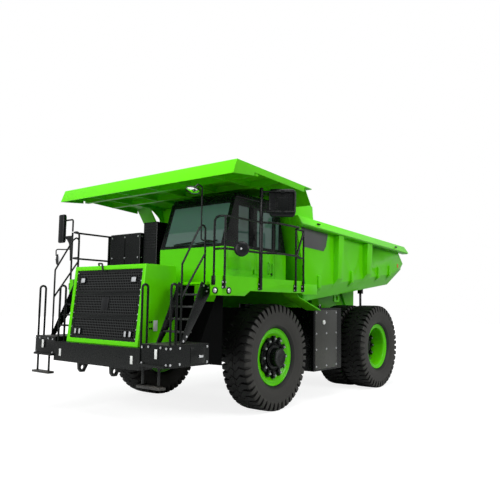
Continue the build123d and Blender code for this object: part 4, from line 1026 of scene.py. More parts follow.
@dataclass
class Wheels:
    """Rock tyres, rims with rolled flanges, and hubs with wedge clamps."""

    bench: Bench
    lugs: int = 44
    front_x: float = 1.566
    outer_x: float = 1.631
    twin: float = 0.690
    clamps: int = 12
    rim_sides: int = 72
    front_reach: float = 0.198
    front_seat: float = 0.408
    rear_reach: float = 0.09
    rear_seat: float = 0.425
    front_depth: float = 0.35
    rear_depth: float = 0.77
    web: float = 0.150

    def stations(self) -> list[tuple[float, float, float, float, float, float]]:
        """The tyre's cross-section, from the left bead over the tread to the right bead.

        Returns:
            (lug x, lug radius, groove x, groove radius, shift, half gap), the last two in pitches.
        """
        wall = [(0.150, 0.462), (0.168, 0.474), (0.174, 0.533), (0.182, 0.549), (0.232, 0.574), (0.262, 0.610),
                (0.264, 0.622), (0.278, 0.655), (0.292, 0.715), (0.299, 0.775), (0.3, 0.815), (0.2985, 0.845),
                (0.301, 0.852)]
        half = [(x, r, x, r, 0.0, 0.16) for x, r in wall]
        half += [
            (0.3015, 0.862, 0.297, 0.858, 0.0, 0.10), (0.300, 0.905, 0.282, 0.885, 0.0, 0.15),
            (0.294, 0.955, 0.262, 0.922, 0.0, 0.18), (0.284, 0.993, 0.240, 0.950, 0.0, 0.19),
            (0.268, 1.010, 0.222, 0.964, -0.02, 0.19), (0.215, 1.0185, 0.200, 0.970, -0.06, 0.16),
            (0.150, 1.0205, 0.150, 0.976, -0.10, 0.085), (0.125, 1.0209, 0.125, 0.982, -0.04, 0.05),
            (0.052, 1.0211, 0.052, 0.994, 0.50, 0.035), (0.006, 1.0211, 0.006, 0.996, 0.28, 0.035),
            (0.0058, 1.000, 0.0058, 0.996, 0.28, 0.035),
        ]
        other = [(-a, b, -c, d, 0.5 - s, g) for a, b, c, d, s, g in reversed(half)]
        return half + other

    def pitch_form(self) -> Form:
        """One lug and its groove.

        Returns:
            The form, about the X axis.
        """
        pitch = 2 * math.pi / self.lugs
        stations = self.stations()
        columns = []
        for share in range(6):
            column = []
            for lug_x, lug_r, groove_x, groove_r, shift, gap in stations:
                spots = [(gap + 0.03, True), (0.5, True), (0.97 - gap, True), (1 - gap, False), (1 + gap, False),
                         (1.03 + gap, True)]
                place, on_lug = spots[share]
                x, r = (lug_x, lug_r) if on_lug else (groove_x, groove_r)
                angle = (place + shift) * pitch
                column.append((x, r * math.cos(angle), r * math.sin(angle)))
            columns.append(column)
        return Form().skin(columns, caps=False)

    def tyre(self, name: str, x: float, y: float, side: Side, body: str, replaces: tuple[str, ...]) -> None:
        """Adds one tyre.

        Args:
            name: the piece's name.
            x: its middle, on the left side of the truck.
            y: its axle.
            side: left or right.
            body: the body that it rides on.
            replaces: the model's pieces that it stands for.
        """
        place = Matrix.Translation((x * side.value, y, AXLE_HEIGHT)) @ Matrix.Scale(side.value, 4, (1, 0, 0))
        made = self.bench.grown(name, self.pitch_form(), "ring", {"Count": self.lugs}, body, "tyre_rubber",
                                Finish.RUBBER, replaces, place)
        tidy_normals(made)

    def rim_profile(self, deep: bool) -> list[tuple[float, float]]:
        """A rim's section, closed.

        Args:
            deep: whether it is a rear rim, open right through to its hub.

        Returns:
            (x, radius) pairs.
        """
        lip = [(-0.204, 0.430), (-0.204, 0.549), (-0.190, 0.549), (-0.178, 0.470), (0.170, 0.470), (0.176, 0.533),
               (0.184, 0.545), (0.196, 0.552), (0.207, 0.548), (0.211, 0.538), (0.206, 0.529), (0.196, 0.523),
               (0.191, 0.500), (0.187, 0.497), (0.187, 0.491), (0.192, 0.487), (0.185, 0.464)]
        if deep:
            return lip + [(0.172, 0.453), (0.150, 0.447), (0.120, 0.444), (-0.02, 0.441), (-0.06, 0.429)]
        return lip + [(0.172, 0.446), (0.158, 0.434), (0.150, 0.414), (0.128, 0.374), (0.09, 0.374), (0.08, 0.430)]

    def rim(self, name: str, xs: tuple[float, ...], y: float, side: Side, body: str, deep: bool,
            replaces: tuple[str, ...]) -> None:
        """Adds the rims of one wheel.

        Args:
            name: the piece's name.
            xs: their middles, on the left side of the truck.
            y: their axle.
            side: left or right.
            body: the body that they ride on.
            deep: whether they are open right through.
            replaces: the model's pieces that they stand for.
        """
        form = Form()
        for x in xs:
            ring = Form().turned(self.rim_profile(deep), self.rim_sides, closed=True)
            ring.moved(Matrix.Translation((x, y, AXLE_HEIGHT)))
            absorb(form, ring)
        self.bench.piece(name, form.mirrored(side), body, "green_paint", Finish.GREEN, replaces, sharp=28.0)

    def hub(self, name: str, web: float, y: float, side: Side, body: str, replaces: tuple[str, ...],
            reach: float, seat: float, depth: float) -> None:
        """Adds one hub with its wedges, nuts and cap.

        Args:
            name: the piece's name.
            web: the outer face of the rim's inner seat, on the left side of the truck.
            y: its axle.
            side: left or right.
            body: the body that it rides on.
            replaces: the model's pieces that it stands for.
            reach: how far the cap stands out of the hub's face.
            seat: the radius where the wedges end.
            depth: how far the hub goes inwards from its face.
        """
        ring = seat - 0.04
        profile = [(-depth, 0.0), (-depth, 0.2), (-0.22, 0.21), (-0.20, ring - 0.01), (0.012, ring),
                   (0.024, ring - 0.012), (0.024, ring - 0.07), (0.0, ring - 0.085), (-0.02, 0.255), (0.0, 0.232),
                   (0.045, 0.225), (0.052, 0.216), (0.052, 0.192), (0.060, 0.182), (reach - 0.014, 0.176),
                   (reach - 0.003, 0.168), (reach, 0.157), (reach - 0.004, 0.150), (reach - 0.004, 0.06),
                   (reach, 0.055), (reach, 0.0)]
        form = Form().turned(profile, self.rim_sides)
        form.moved(Matrix.Translation((web, y, AXLE_HEIGHT)))
        made = self.bench.piece(name, form.mirrored(side), body, "black_paint", Finish.BLACK, replaces, sharp=28.0)
        tidy_normals(made)
        foot, head = ring - 0.085, seat + 0.002
        wedge = Form().prism([(-0.043, foot), (0.043, foot), (0.037, head), (-0.037, head)], Along.X, 0.006, 0.05)
        foot, head = ring - 0.075, seat - 0.014
        wedge.prism([(-0.03, foot), (0.03, foot), (0.026, head), (-0.026, head)], Along.X, 0.05, 0.058)
        place = Matrix.Translation((web * side.value, y, AXLE_HEIGHT)) @ Matrix.Scale(side.value, 4, (1, 0, 0))
        wedges = self.bench.grown(name + "_wedges", wedge, "ring", {"Count": self.clamps}, body, "black_paint",
                                  Finish.BLACK, (), place)
        tidy_normals(wedges)
        nut = Form()
        middle = ring - 0.018
        for radius, start, end in ((0.021, 0.058, 0.082), (0.0115, 0.082, 0.097)):
            corners = [index * math.pi / 3 for index in range(6)]
            outline = [(radius * math.cos(angle), middle + radius * math.sin(angle)) for angle in corners]
            nut.prism(outline, Along.X, start, end)
        nuts = self.bench.grown(name + "_nuts", nut, "ring", {"Count": self.clamps}, body, "black_paint",
                                Finish.STEEL, (), place)
        tidy_normals(nuts)

    def build(self) -> None:
        """Adds every wheel."""
        for side in Side:
            word = side.name.lower()
            body = "front_wheel_" + word
            self.tyre("front_tyre_" + word + "_rock", self.front_x, 0.0, side, body, ("front_tyre_" + word,))
            self.rim("front_rim_" + word + "_rolled", (self.front_x,), 0.0, side, body, False, ("front_rim_" + word,))
            self.hub("front_hub_" + word + "_turned", self.front_x + self.web, 0.0, side, body,
                     ("front_hub_" + word,), self.front_reach, self.front_seat, self.front_depth)
            body = "rear_wheels_" + word
            for place, x in (("outer", self.outer_x), ("inner", self.outer_x - self.twin)):
                self.tyre("rear_tyre_" + word + "_" + place, x, WHEELBASE, side, body, ("rear_tyres_" + word,))
            self.rim("rear_rims_" + word + "_rolled", (self.outer_x, self.outer_x - self.twin), WHEELBASE, side, body,
                     True, ("rear_rims_" + word,))
            self.hub("rear_hub_" + word + "_turned", self.outer_x - self.web, WHEELBASE, side, body,
                     ("rear_hub_" + word,), self.rear_reach, self.rear_seat, self.rear_depth)


def absorb(form: Form, other: Form) -> None:
    """Adds another form's mesh to a form, and frees it.

    Args:
        form: the form that grows.
        other: the form that is used up.
    """
    data = bpy.data.meshes.new("part")
    other.mesh.to_mesh(data)
    other.mesh.free()
    form.mesh.from_mesh(data)
    bpy.data.meshes.remove(data)


def tidy_normals(made: bpy.types.Object) -> None:
    """Merges doubles, bridges open borders and turns every face outwards.

    Args:
        made: the piece to mend.
    """
    mesh = bmesh.new()
    mesh.from_mesh(made.data)
    bmesh.ops.remove_doubles(mesh, verts=mesh.verts[:], dist=1e-5)
    border = [edge for edge in mesh.edges if edge.is_boundary]
    if border:
        bmesh.ops.bridge_loops(mesh, edges=border)
    bmesh.ops.recalc_face_normals(mesh, faces=mesh.faces[:])
    mesh.to_mesh(made.data)
    mesh.free()
    made.data.set_sharp_from_angle(angle=math.radians(30.0))


# Studio

@dataclass
class Studio:
    """Camera, lamps, floor and world."""

    eye: Point = (8.274, -9.039, 2.035)
    yaw: float = 0.669
    pitch: float = 0.095
    roll: float = 0.014
    focal_px: float = 567.4
    frame_px: float = 500.0
    sensor_mm: float = 36.0
    surround: float = 0.30
    gloss_share: float = 0.45
    aim: Point = (0.0, 0.0, 1.6)
    floor_half: float = 60.0
    lamps: tuple[tuple[str, Point, float, float], ...] = (  # name, place, size and watts
        ("SkyLamp", (3.0, -5.0, 15.0), 11.0, 2050.0), ("SideLamp", (15.0, 1.0, 8.0), 6.0, 880.0),
        ("FrontLamp", (-1.0, -15.0, 6.5), 7.0, 950.0))

    def camera(self) -> None:
        """Sets the camera where the photograph was taken from."""
        ahead = Vector((-math.sin(self.yaw) * math.cos(self.pitch), math.cos(self.yaw) * math.cos(self.pitch),
                        math.sin(self.pitch)))
        right = Vector((math.cos(self.yaw), math.sin(self.yaw), 0.0))
        up = right.cross(ahead)
        c, s = math.cos(self.roll), math.sin(self.roll)
        right, up = c * right + s * up, -s * right + c * up
        data = bpy.data.cameras.new("Camera")
        data.sensor_width = self.sensor_mm
        data.lens = self.focal_px / self.frame_px * self.sensor_mm
        made = placed("Camera", data)
        turn = Matrix((right, up, -ahead)).transposed().to_4x4()
        made.matrix_world = Matrix.Translation(Vector(self.eye) + FRONT_AXLE) @ turn
        bpy.context.scene.camera = made

    def lamp(self, name: str, place: Point, size: float, power: float) -> None:
        """Adds one soft square lamp aimed at the truck's middle.

        Args:
            name: its name.
            place: where it hangs.
            size: its side.
            power: in watts.
        """
        data = bpy.data.lights.new(name, "AREA")
        data.shape = "SQUARE"
        data.size = size
        data.energy = power
        made = placed(name, data)
        made.location = place
        made.rotation_euler = (Vector(self.aim) - Vector(place)).to_track_quat("-Z", "Y").to_euler()

    def world(self) -> None:
        """Sets a soft surround that the camera and glass see as white and gloss sees as partly white."""
        world = bpy.data.worlds.new("Surround")
        bpy.context.scene.world = world
        world.use_nodes = True
        graph = Graph(world.node_tree)
        shade = world.node_tree.nodes["Background"]
        shade.inputs["Color"].default_value = (1.0, 1.0, 1.0, 1.0)
        path = graph.add("ShaderNodeLightPath")
        seen = graph.maths("ADD", path.outputs["Is Camera Ray"], path.outputs["Is Transmission Ray"], clamp=True)
        glossy = graph.maths("MULTIPLY", path.outputs["Is Glossy Ray"], self.gloss_share)
        seen = graph.maths("ADD", seen, glossy, clamp=True)
        lit = graph.maths("ADD", graph.maths("MULTIPLY", seen, 1.0 - self.surround), self.surround)
        world.node_tree.links.new(lit, shade.inputs["Strength"])

    def floor(self) -> None:
        """Lays a pale floor that keeps the truck's shadow."""
        form = Form()
        far = self.floor_half
        form.mesh.faces.new(form.loop([(-far, -far, 0), (far, -far, 0), (far, far, 0), (-far, far, 0)]))
        made = solid("Floor", form.mesh)
        paint, graph, base = blank("PaleFloor")
        tree = paint.node_tree
        path = graph.add("ShaderNodeLightPath")
        clear = graph.maths("ADD", path.outputs["Is Camera Ray"], path.outputs["Is Glossy Ray"], clamp=True)
        bounce = graph.mix(clear, (0.24, 0.25, 0.23), (0.86, 0.87, 0.87))
        tree.links.new(bounce, base.inputs["Base Color"])
        base.inputs["Roughness"].default_value = 0.95
        base.inputs["Specular IOR Level"].default_value = 0.1
        glow = graph.add("ShaderNodeEmission", {"Strength": 1.35})
        place = graph.add("ShaderNodeTexCoord").outputs["Object"]
        reach = graph.add("ShaderNodeVectorMath", {0: place}, operation="LENGTH").outputs["Value"]
        fade = graph.add("ShaderNodeMapRange", {0: reach, 1: 4.5, 2: 11.0, 3: 0.62, 4: 0.95}).outputs[0]
        share = graph.maths("MULTIPLY", path.outputs["Is Camera Ray"], fade)
        blend = graph.add("ShaderNodeMixShader", {0: share, 1: base.outputs[0], 2: glow.outputs[0]})
        tree.links.new(blend.outputs[0], tree.nodes["Material Output"].inputs["Surface"])
        made.data.materials.append(paint)

    def build(self) -> None:
        """Sets everything up."""
        self.camera()
        self.world()
        self.floor()
        for name, place, size, power in self.lamps:
            self.lamp(name, place, size, power)
        bpy.context.scene.view_settings.view_transform = "Standard"


@dataclass
class Grille:
    """Perforated panel in three bands, with bolts, a blank centre plate and a near-black sheet behind it that paints
    the shade seen through the holes.
    """

    bench: Bench
    half: float = 0.918
    low: float = 0.078
    high: float = 1.319
    pitch: float = 0.046
    hole: float = 0.033
    sheet: float = 0.006
    bands: int = 3
    side_margin: float = 0.05
    band_margin: float = 0.07
    seam: float = 0.0015
    mesh_z: float = -0.026
    frame_z: Span = (-0.032, -0.014)
    shade_sheet_z: Span = (-0.052, -0.040)
    plate_z: Span = (-0.020, -0.006)
    plate_half: float = 0.10
    plate_rise: Span = (-0.10, 0.13)
    bolt_inset: float = 0.022
    bolts_a_side: int = 3

    def cell(self) -> Form:
        """One square of the perforated sheet, open at its four sides and flat in X and Y."""
        outer, inner = self.pitch / 2, self.hole / 2
        return Form().frame((-outer, outer, -outer, outer), (-inner, inner, -inner, inner), (0.0, self.sheet), False)

    def build(self) -> None:
        """Adds the panel."""
        span = (self.high - self.low) / self.bands
        columns = int(2 * (self.half - self.side_margin) / self.pitch)
        rows = int((span - self.band_margin) / self.pitch)
        wide, tall = columns * self.pitch / 2, rows * self.pitch / 2
        frames = Form()
        spots = []
        for band in range(self.bands):
            low = self.low + band * span
            middle = low + span / 2
            place = HOOD_FACE @ Matrix.Translation((0.0, middle, self.mesh_z))
            mesh = self.bench.grown(f"grille_mesh_{band}", self.cell(), "lattice",
                                    {"Columns": columns, "Rows": rows, "Pitch": self.pitch}, finish=Finish.MESH,
                                    replaces=("grille",) if band == 0 else (), place=place)
            tidy_normals(mesh)
            frames.frame((-self.half, self.half, low + self.seam, low + span - self.seam),
                         (-wide, wide, middle - tall, middle + tall), self.frame_z)
            for x in (-self.half + self.bolt_inset, self.half - self.bolt_inset):
                spots += [((x, y, self.frame_z[1]), (0.0, 0.0, 1.0))
                          for y in spaced(low + 0.05, low + span - 0.05, self.bolts_a_side)]
        self.bench.piece("grille_frames", frames.moved(HOOD_FACE), bevel=0.003)
        # Painted shade: a matte near-black sheet behind the holes stands in for the shade inside the hood.
        shade_sheet = Form().box((-self.half, self.half), (self.low, self.high), self.shade_sheet_z).moved(HOOD_FACE)
        self.bench.piece("grille_shade_sheet", shade_sheet, finish=Finish.LINER_AND_SHADE)
        middle = (self.low + self.high) / 2
        plate = Form().box((-self.plate_half, self.plate_half), tuple(middle + rise for rise in self.plate_rise),
                           self.plate_z).moved(HOOD_FACE)
        self.bench.piece("grille_plate", plate, finish=Finish.PLASTIC, bevel=0.005)
        turned = [(tuple(HOOD_FACE @ Vector(p)), tuple(HOOD_FACE.to_3x3() @ Vector(d))) for p, d in spots]
        self.bench.bolts("grille_bolts", turned, 0.008, 0.006)


@dataclass
class Lamps:
    """Square lamps on the grille, round lamps on the deck's corners, and lamps at the tail."""

    bench: Bench
    grille: tuple[Rectangle, ...] = (  # the middle, half width and half height of each lamp on the left side
        (0.715, 1.135, 0.062, 0.042), (0.640, 0.205, 0.030, 0.046), (0.765, 0.205, 0.030, 0.046))
    rim: float = 0.01
    case_z: Span = (-0.030, 0.006)
    lens_z: Span = (-0.030, -0.001)
    sides: int = 24
    lens: Profile = ((0.0, 0.0), (0.0, 0.044), (0.010, 0.043), (0.016, 0.036), (0.020, 0.020), (0.021, 0.0))
    case: Profile = ((-0.001, 0.0), (-0.001, 0.056), (0.018, 0.056), (0.022, 0.052), (0.022, 0.045), (0.002, 0.043),
                     (0.001, 0.0))
    deck_front: Point = (1.99, -2.0, 2.255)
    deck_flank: Point = (2.13, -1.83, 2.255)
    rear: tuple[Point, ...] = ((0.30, WHEELBASE + 1.2022, 1.42), (0.42, WHEELBASE + 1.2022, 1.42))
    rear_lens: Profile = ((0.0, 0.0), (0.0, 0.040), (0.010, 0.040), (0.018, 0.028), (0.021, 0.0))
    rear_case: Profile = ((0.0, 0.040), (0.0, 0.052), (0.012, 0.050), (0.014, 0.042), (0.011, 0.040))

    def on_grille(self) -> None:
        """Adds the grille's lamps."""
        cases, lenses = Form(), Form()
        for x, y, wide, tall in self.grille:
            for side in Side:
                cx = x * side.value
                outer, inner = [(cx - wide - rim, cx + wide + rim, y - tall - rim, y + tall + rim)
                                for rim in (self.rim, 0.0)]
                cases.frame(outer, inner, self.case_z)
                lenses.box(inner[:2], inner[2:], self.lens_z)
        self.bench.piece("grille_lamp_cases", cases.moved(HOOD_FACE), finish=Finish.PLASTIC, bevel=0.002)
        self.bench.piece("grille_lamp_lenses", lenses.moved(HOOD_FACE), slot="lamp_lens", finish=Finish.LENS,
                         replaces=("lamps",), bevel=0.004)

    def on_deck(self) -> None:
        """Adds the lamps on the deck's corners, two that look ahead and two that look sideways."""
        for label, profile, slot, finish in (("cases", self.case, "black_paint", Finish.PLASTIC),
                                             ("lenses", self.lens, "lamp_lens", Finish.LENS)):
            form = Form()
            for side in Side:
                ahead = [(-depth, radius) for depth, radius in profile]
                aside = [(depth * side.value, radius) for depth, radius in profile]
                absorb(form, Form().turned(ahead, self.sides, Along.Y, across(self.deck_front, side)))
                absorb(form, Form().turned(aside, self.sides, Along.X, across(self.deck_flank, side)))
            self.bench.piece("deck_lamp_" + label, form, slot=slot, finish=finish)

    def at_tail(self) -> None:
        """Adds the red lamps and their rings."""
        for name, profile, slot, finish, closed in (
                ("rear_lamps", self.rear_lens, "lamp_lens", Finish.RED, False),
                ("rear_lamp_cases", self.rear_case, "frame_grey", Finish.PLASTIC, True)):
            form = Form()
            for side in Side:
                for place in self.rear:
                    absorb(form, Form().turned(profile, self.sides, Along.Y, across(place, side), closed))
            self.bench.piece(name, form, slot=slot, finish=finish)

    def build(self) -> None:
        """Adds the lamps."""
        self.on_grille()
        self.on_deck()
        self.at_tail()


@dataclass
class Ladders:
    """Ladders, hung rungs, handrails, grab hoops and the step boxes' bolts."""

    bench: Bench
    inner_x: float = 1.24
    outer_x: float = 1.80
    plate: float = 0.02
    foot_y: float = -2.60
    head_y: float = -2.125
    low_z: float = 1.378
    deck_z: float = 2.40
    treads: int = 4
    hanger_x: tuple[float, ...] = (1.29, 1.66)
    hoops: tuple[Span, ...] = ((1.156, 1.30), (1.83, 1.378))  # each hoop's x and its foot's height
    hoop_y: Span = (-2.845, -2.725)
    hoop_z: float = 2.333
    box_side: float = 1.86
    box_front: float = -2.90
    corner_bolts: tuple[Span, ...] = ((-2.53, 1.43), (-2.46, 1.50), (-2.08, 2.33), (-2.0, 2.24), (-1.96, 2.30))

    def ladders(self) -> None:
        """Adds the stringers, the treads and the hung rungs."""
        plates, steps = Form(), Form()
        rise = [(self.foot_y, self.low_z), (self.foot_y + 0.1, self.low_z), (self.head_y + 0.225, self.deck_z - 0.166),
                (self.head_y + 0.188, self.deck_z - 0.093), (self.head_y, self.deck_z)]
        for x in (self.inner_x, self.outer_x - self.plate):
            plates.prism(rise, Along.X, x, x + self.plate)
        for i in range(1, self.treads + 1):
            share = i / (self.treads + 1)
            y = self.foot_y + 0.08 + share * (self.head_y - self.foot_y)
            z = self.low_z + share * (self.deck_z - self.low_z)
            steps.box((self.inner_x + self.plate, self.outer_x - self.plate), (y - 0.05, y + 0.09 + 0.06 * share),
                      (z - 0.03, z))
        for x in self.hanger_x:
            plates.box((x, x + 0.04), (-2.932, -2.908), (0.72, 1.03))
        steps.box((1.23, 1.77), (-2.985, -2.855), (0.70, 0.74))
        self.bench.piece("ladder_stringers", plates.twin(), replaces=("access_steps",), bevel=0.004)
        self.bench.piece("ladder_treads", steps.twin(), finish=Finish.PLATE, bevel=0.004)

    def handholds(self) -> None:
        """Adds the handrails beside the ladders and the hoops beside the hood."""
        x, foot, head = self.outer_x - self.plate, self.foot_y + 0.025, self.head_y + 0.08
        bend, high = self.low_z + 1.28, self.deck_z + 0.96
        runs = [[(x, foot, self.low_z), (x, foot, bend), (x, self.head_y - 0.07, high - 0.07),
                 (x, self.head_y + 0.02, high), (x, head, high - 0.06), (x, head, self.deck_z - 0.03)],
                [(x, foot, self.low_z + 0.745), (x, head, self.deck_z + 0.47)]]
        runs += [[across(place, Side.RIGHT) for place in run] for run in runs]
        self.bench.tubes("ladder_handrails", runs, 0.017, 0.05)
        front, rear = self.hoop_y
        hoops = []
        for x, foot in self.hoops:
            for side in Side:
                hoop = [(x, front, foot), (x, front, self.hoop_z), (x, rear, self.hoop_z), (x, rear, foot)]
                hoops.append([across(place, side) for place in hoop])
        self.bench.tubes("grab_hoops", hoops, 0.02, 0.055)

    def bolts(self) -> None:
        """Adds the bolts of the step boxes and of the ladders' plates."""
        spots = []
        for z in (1.08, 1.33):
            spots += [((self.box_side, y, z), (1.0, 0.0, 0.0)) for y in (-2.86, -2.66, -2.03)]
            spots += [((x, self.box_front, z), (0.0, -1.0, 0.0)) for x in (1.25, 1.81)]
        spots += [((x, self.box_front, 1.34), (0.0, -1.0, 0.0)) for x in (1.40, 1.68)]
        spots += [((self.outer_x, y, z), (1.0, 0.0, 0.0)) for y, z in self.corner_bolts]
        self.bench.bolts("step_bolts", mirrored_spots(spots), 0.014, 0.012)

    def build(self) -> None:
        """Adds both sides."""
        self.ladders()
        self.handholds()
        self.bolts()


@dataclass
class Rails:
    """Deck rails on both sides, bowed out beside the door, with bolted posts."""

    bench: Bench
    x: float = 2.150
    bow_x: float = 2.345
    front: float = -1.960
    flat_post: float = -0.98
    bow_end: float = 0.15
    rear: float = 0.420
    corner_x: float = 1.910
    foot_z: float = 2.29
    mid_z: float = 2.950
    high_z: float = 3.500
    pad_x: Span = (2.130, 2.142)
    pad_half: float = 0.05
    bolt_gap: float = 0.034

    def runs(self) -> list[list[Point]]:
        """The left side's tubes.

        Returns:
            Each tube's points: the top rail, the middle rail, the brace and the posts.
        """
        stops = [(self.x, self.flat_post), (self.bow_x, -0.76), (self.bow_x, -0.04), (self.x, self.bow_end),
                 (self.x, self.rear)]
        top = [(self.corner_x, self.front, 2.40), (self.corner_x, self.front, self.high_z),
               (self.x, self.front, self.high_z)] + [(x, y, self.high_z) for x, y in stops]
        middle = [(self.corner_x, self.front, self.mid_z), (self.x, self.front, self.mid_z)]
        middle += [(x, y, self.mid_z) for x, y in stops]
        brace = [(self.x, 0.16, self.mid_z), (self.x, self.rear, self.high_z - 0.03)]
        posts = [[(self.x, y, self.foot_z), (self.x, y, self.high_z)] for y in (self.front, self.bow_end, self.rear)]
        return [top, middle, brace] + posts

    def build(self) -> None:
        """Adds the rails."""
        spots = []
        for side in Side:
            word = side.name.lower()
            runs = [[across(place, side) for place in run] for run in self.runs()]
            self.bench.tubes("rails_" + word, runs, 0.02, 0.10, replaces=("deck_rails_" + word,))
            feet = Form()
            feet.box((2.130, 2.172), (self.flat_post - 0.032, self.flat_post + 0.032), (self.foot_z, 3.52))
            for y in (self.front, self.flat_post, self.bow_end, self.rear):
                feet.box(self.pad_x, (y - self.pad_half, y + self.pad_half), (2.285, 2.42))
                spots += [((self.pad_x[1] * side.value, y + gap, z), (float(side.value), 0.0, 0.0))
                          for gap in (-self.bolt_gap, self.bolt_gap) for z in (2.31, 2.39)]
            self.bench.piece("rail_feet_" + word, feet.mirrored(side), bevel=0.004)
        self.bench.bolts("rail_bolts", spots, 0.012, 0.010)


@dataclass
class Mirrors:
    """Mirror housings with their arms, and round mirrors."""

    bench: Bench
    x: float = 2.150
    y: float = -1.960
    head: Point = (2.40, -0.68, 0.0)
    head_turn: float = math.radians(36.9)
    far_x: float = -2.45
    discs: tuple[tuple[str, Point, Point, float], ...] = (  # name, centre, aim and radius
        ("round_mirror_front", (1.820, -2.41, 3.89), (0.0, -0.35, -0.94), 0.125),
        ("round_mirror_side", (2.315, -1.73, 2.95), (-0.5, 0.86, 0.0), 0.130),
        ("round_mirror_far", (-2.52, -2.06, 2.93), (0.5, 0.86, 0.0), 0.120))
    dome: float = 0.034
    dome_shares: tuple[float, ...] = (1.0, 0.86, 0.7, 0.5, 0.28, 0.0)
    gusset: Profile = ((-2.165, 2.90), (-2.205, 2.90), (-2.225, 3.14), (-2.265, 3.27), (-2.34, 3.36), (-2.45, 3.405),
                       (-2.45, 3.435), (-2.165, 3.435))

    def disc(self, name: str, centre: Point, aim: Point, radius: float) -> None:
        """Adds a round mirror's dished back and its glass.

        Args:
            name: the pieces' first name.
            centre: the middle of its rim.
            aim: where its glass looks.
            radius: the rim's radius.
        """
        turn = Vector(aim).normalized().to_track_quat("Z", "Y").to_matrix().to_4x4()
        place = Matrix.Translation(centre) @ turn
        inner = radius - 0.012
        back = [(-0.030, 0.0), (-0.030, radius * 0.45), (-0.022, radius * 0.78), (-0.006, radius * 0.97),
                (0.002, radius), (0.012, radius), (0.012, inner), (0.006, inner), (0.006, 0.0)]
        boss = [(-0.028, 0.0), (-0.028, 0.017), (-0.040, 0.017), (-0.044, 0.012), (-0.044, 0.0)]
        rim = radius - 0.013
        glass = [(0.007, 0.0), (0.007, rim)]
        glass += [(0.009 + self.dome * (1 - share * share), rim * share) for share in self.dome_shares]
        for label, profile, sides, slot, finish in (
                ("_back", back, 32, "dark_plastic", Finish.PLASTIC), ("_boss", boss, 20, "dark_plastic", Finish.STEEL),
                ("_glass", glass, 32, "mirror_glass", Finish.MIRROR)):
            form = Form().turned(profile, sides, Along.Z).moved(place)
            self.bench.piece(name + label, form, slot=slot, finish=finish)

    def heads(self, turn: Matrix) -> None:
        """Adds the two housings and their panes.

        Args:
            turn: the left housing's place and turn.
        """
        left = Form().skin([[(x * wide, y, z) for x, y in ((-1, -0.055), (1, -0.055), (1, 0.070), (-1, 0.070))]
                            for wide, z in ((0.205, 3.62), (0.245, 3.69), (0.25, 4.06), (0.215, 4.13))]).moved(turn)
        self.bench.piece("mirror_left_shell", left, slot="dark_plastic", finish=Finish.PLASTIC,
                         replaces=("mirror_heads",), bevel=0.030, segments=4, sharp=20.0)
        inner = Form().box((-0.13, 0.13), (-0.070, -0.050), (3.68, 4.07))
        inner.box((-0.10, 0.10), (-0.085, -0.068), (3.72, 3.97))
        for z in (3.665, 4.035):
            inner.box((-0.035, 0.035), (-0.100, -0.054), (z, z + 0.05))
        self.bench.piece("mirror_left_motor", inner.moved(turn), slot="dark_plastic", bevel=0.008)
        ribs = Form()
        for i in range(5):
            ribs.box((-0.235, 0.235), (-0.0565, -0.0545), (3.72 + i * 0.07, 3.735 + i * 0.07))
        self.bench.piece("mirror_left_ribs", ribs.moved(turn), slot="dark_plastic")
        right = Form().box((-2.64, -2.44), (self.y - 0.040, self.y + 0.040), (3.30, 3.92))
        self.bench.piece("mirror_right_shell", right, slot="dark_plastic", finish=Finish.PLASTIC, bevel=0.03,
                         segments=3)
        glass = Form().box((-0.215, 0.215), (0.070, 0.076), (3.66, 4.09)).moved(turn)
        glass.box((-2.622, -2.458), (self.y + 0.040, self.y + 0.046), (3.34, 3.88))
        self.bench.piece("mirror_panes", glass, slot="mirror_glass", finish=Finish.MIRROR,
                         replaces=("mirror_glass",), bevel=0.002)

    def arms(self, turn: Matrix) -> None:
        """Adds the arms of the housings and of the round mirrors.

        Args:
            turn: the left housing's place and turn.
        """
        near, far = turn @ Vector((0.22, -0.078, 0)), turn @ Vector((-0.20, -0.085, 0))
        arms = [[(self.x, -0.98, z), (far.x, far.y, z + 0.01), (near.x, near.y, z + 0.01)] for z in (3.69, 4.06)]
        arms.append([(near.x, near.y, 3.70), (near.x, near.y, 4.07)])
        arms.append([(-self.x, self.y, 3.52), (-self.x, self.y, 3.78), (self.far_x, self.y, 3.78)])
        arms.append([(-self.x, self.y, 3.42), (self.far_x, self.y, 3.42)])
        self.bench.tubes("mirror_arms", arms, 0.018, 0.04)
        gusset = Form().prism(self.gusset, Along.Y, self.y - 0.007, self.y + 0.007)
        self.bench.piece("mirror_gusset", gusset, bevel=0.002)
        out, back = self.y - 0.23, self.y - 0.018
        thin = [[(1.910, back, 3.08), (1.910, self.y - 0.15, 3.08), (1.820, out, 3.08), (1.820, out, 3.98),
                 (1.820, self.y - 0.33, 4.01), (1.820, -2.40, 3.915)],
                [(self.x + 0.02, self.y, 3.07), (self.x + 0.11, self.y, 3.07), (self.x + 0.18, self.y + 0.09, 3.07),
                 (self.x + 0.181, -1.757, 3.0)],
                [(-self.x - 0.02, self.y, 3.15), (-2.42, self.y, 3.15), (-2.534, -2.093, 3.15), (-2.532, -2.086, 3.01)]]
        self.bench.tubes("round_mirror_arms", thin, 0.013, 0.04, 10)

    def build(self) -> None:
        """Adds the mirrors."""
        turn = Matrix.Translation(self.head) @ Matrix.Rotation(self.head_turn, 4, "Z")
        self.heads(turn)
        self.arms(turn)
        for name, centre, aim, radius in self.discs:
            self.disc(name, centre, aim, radius)


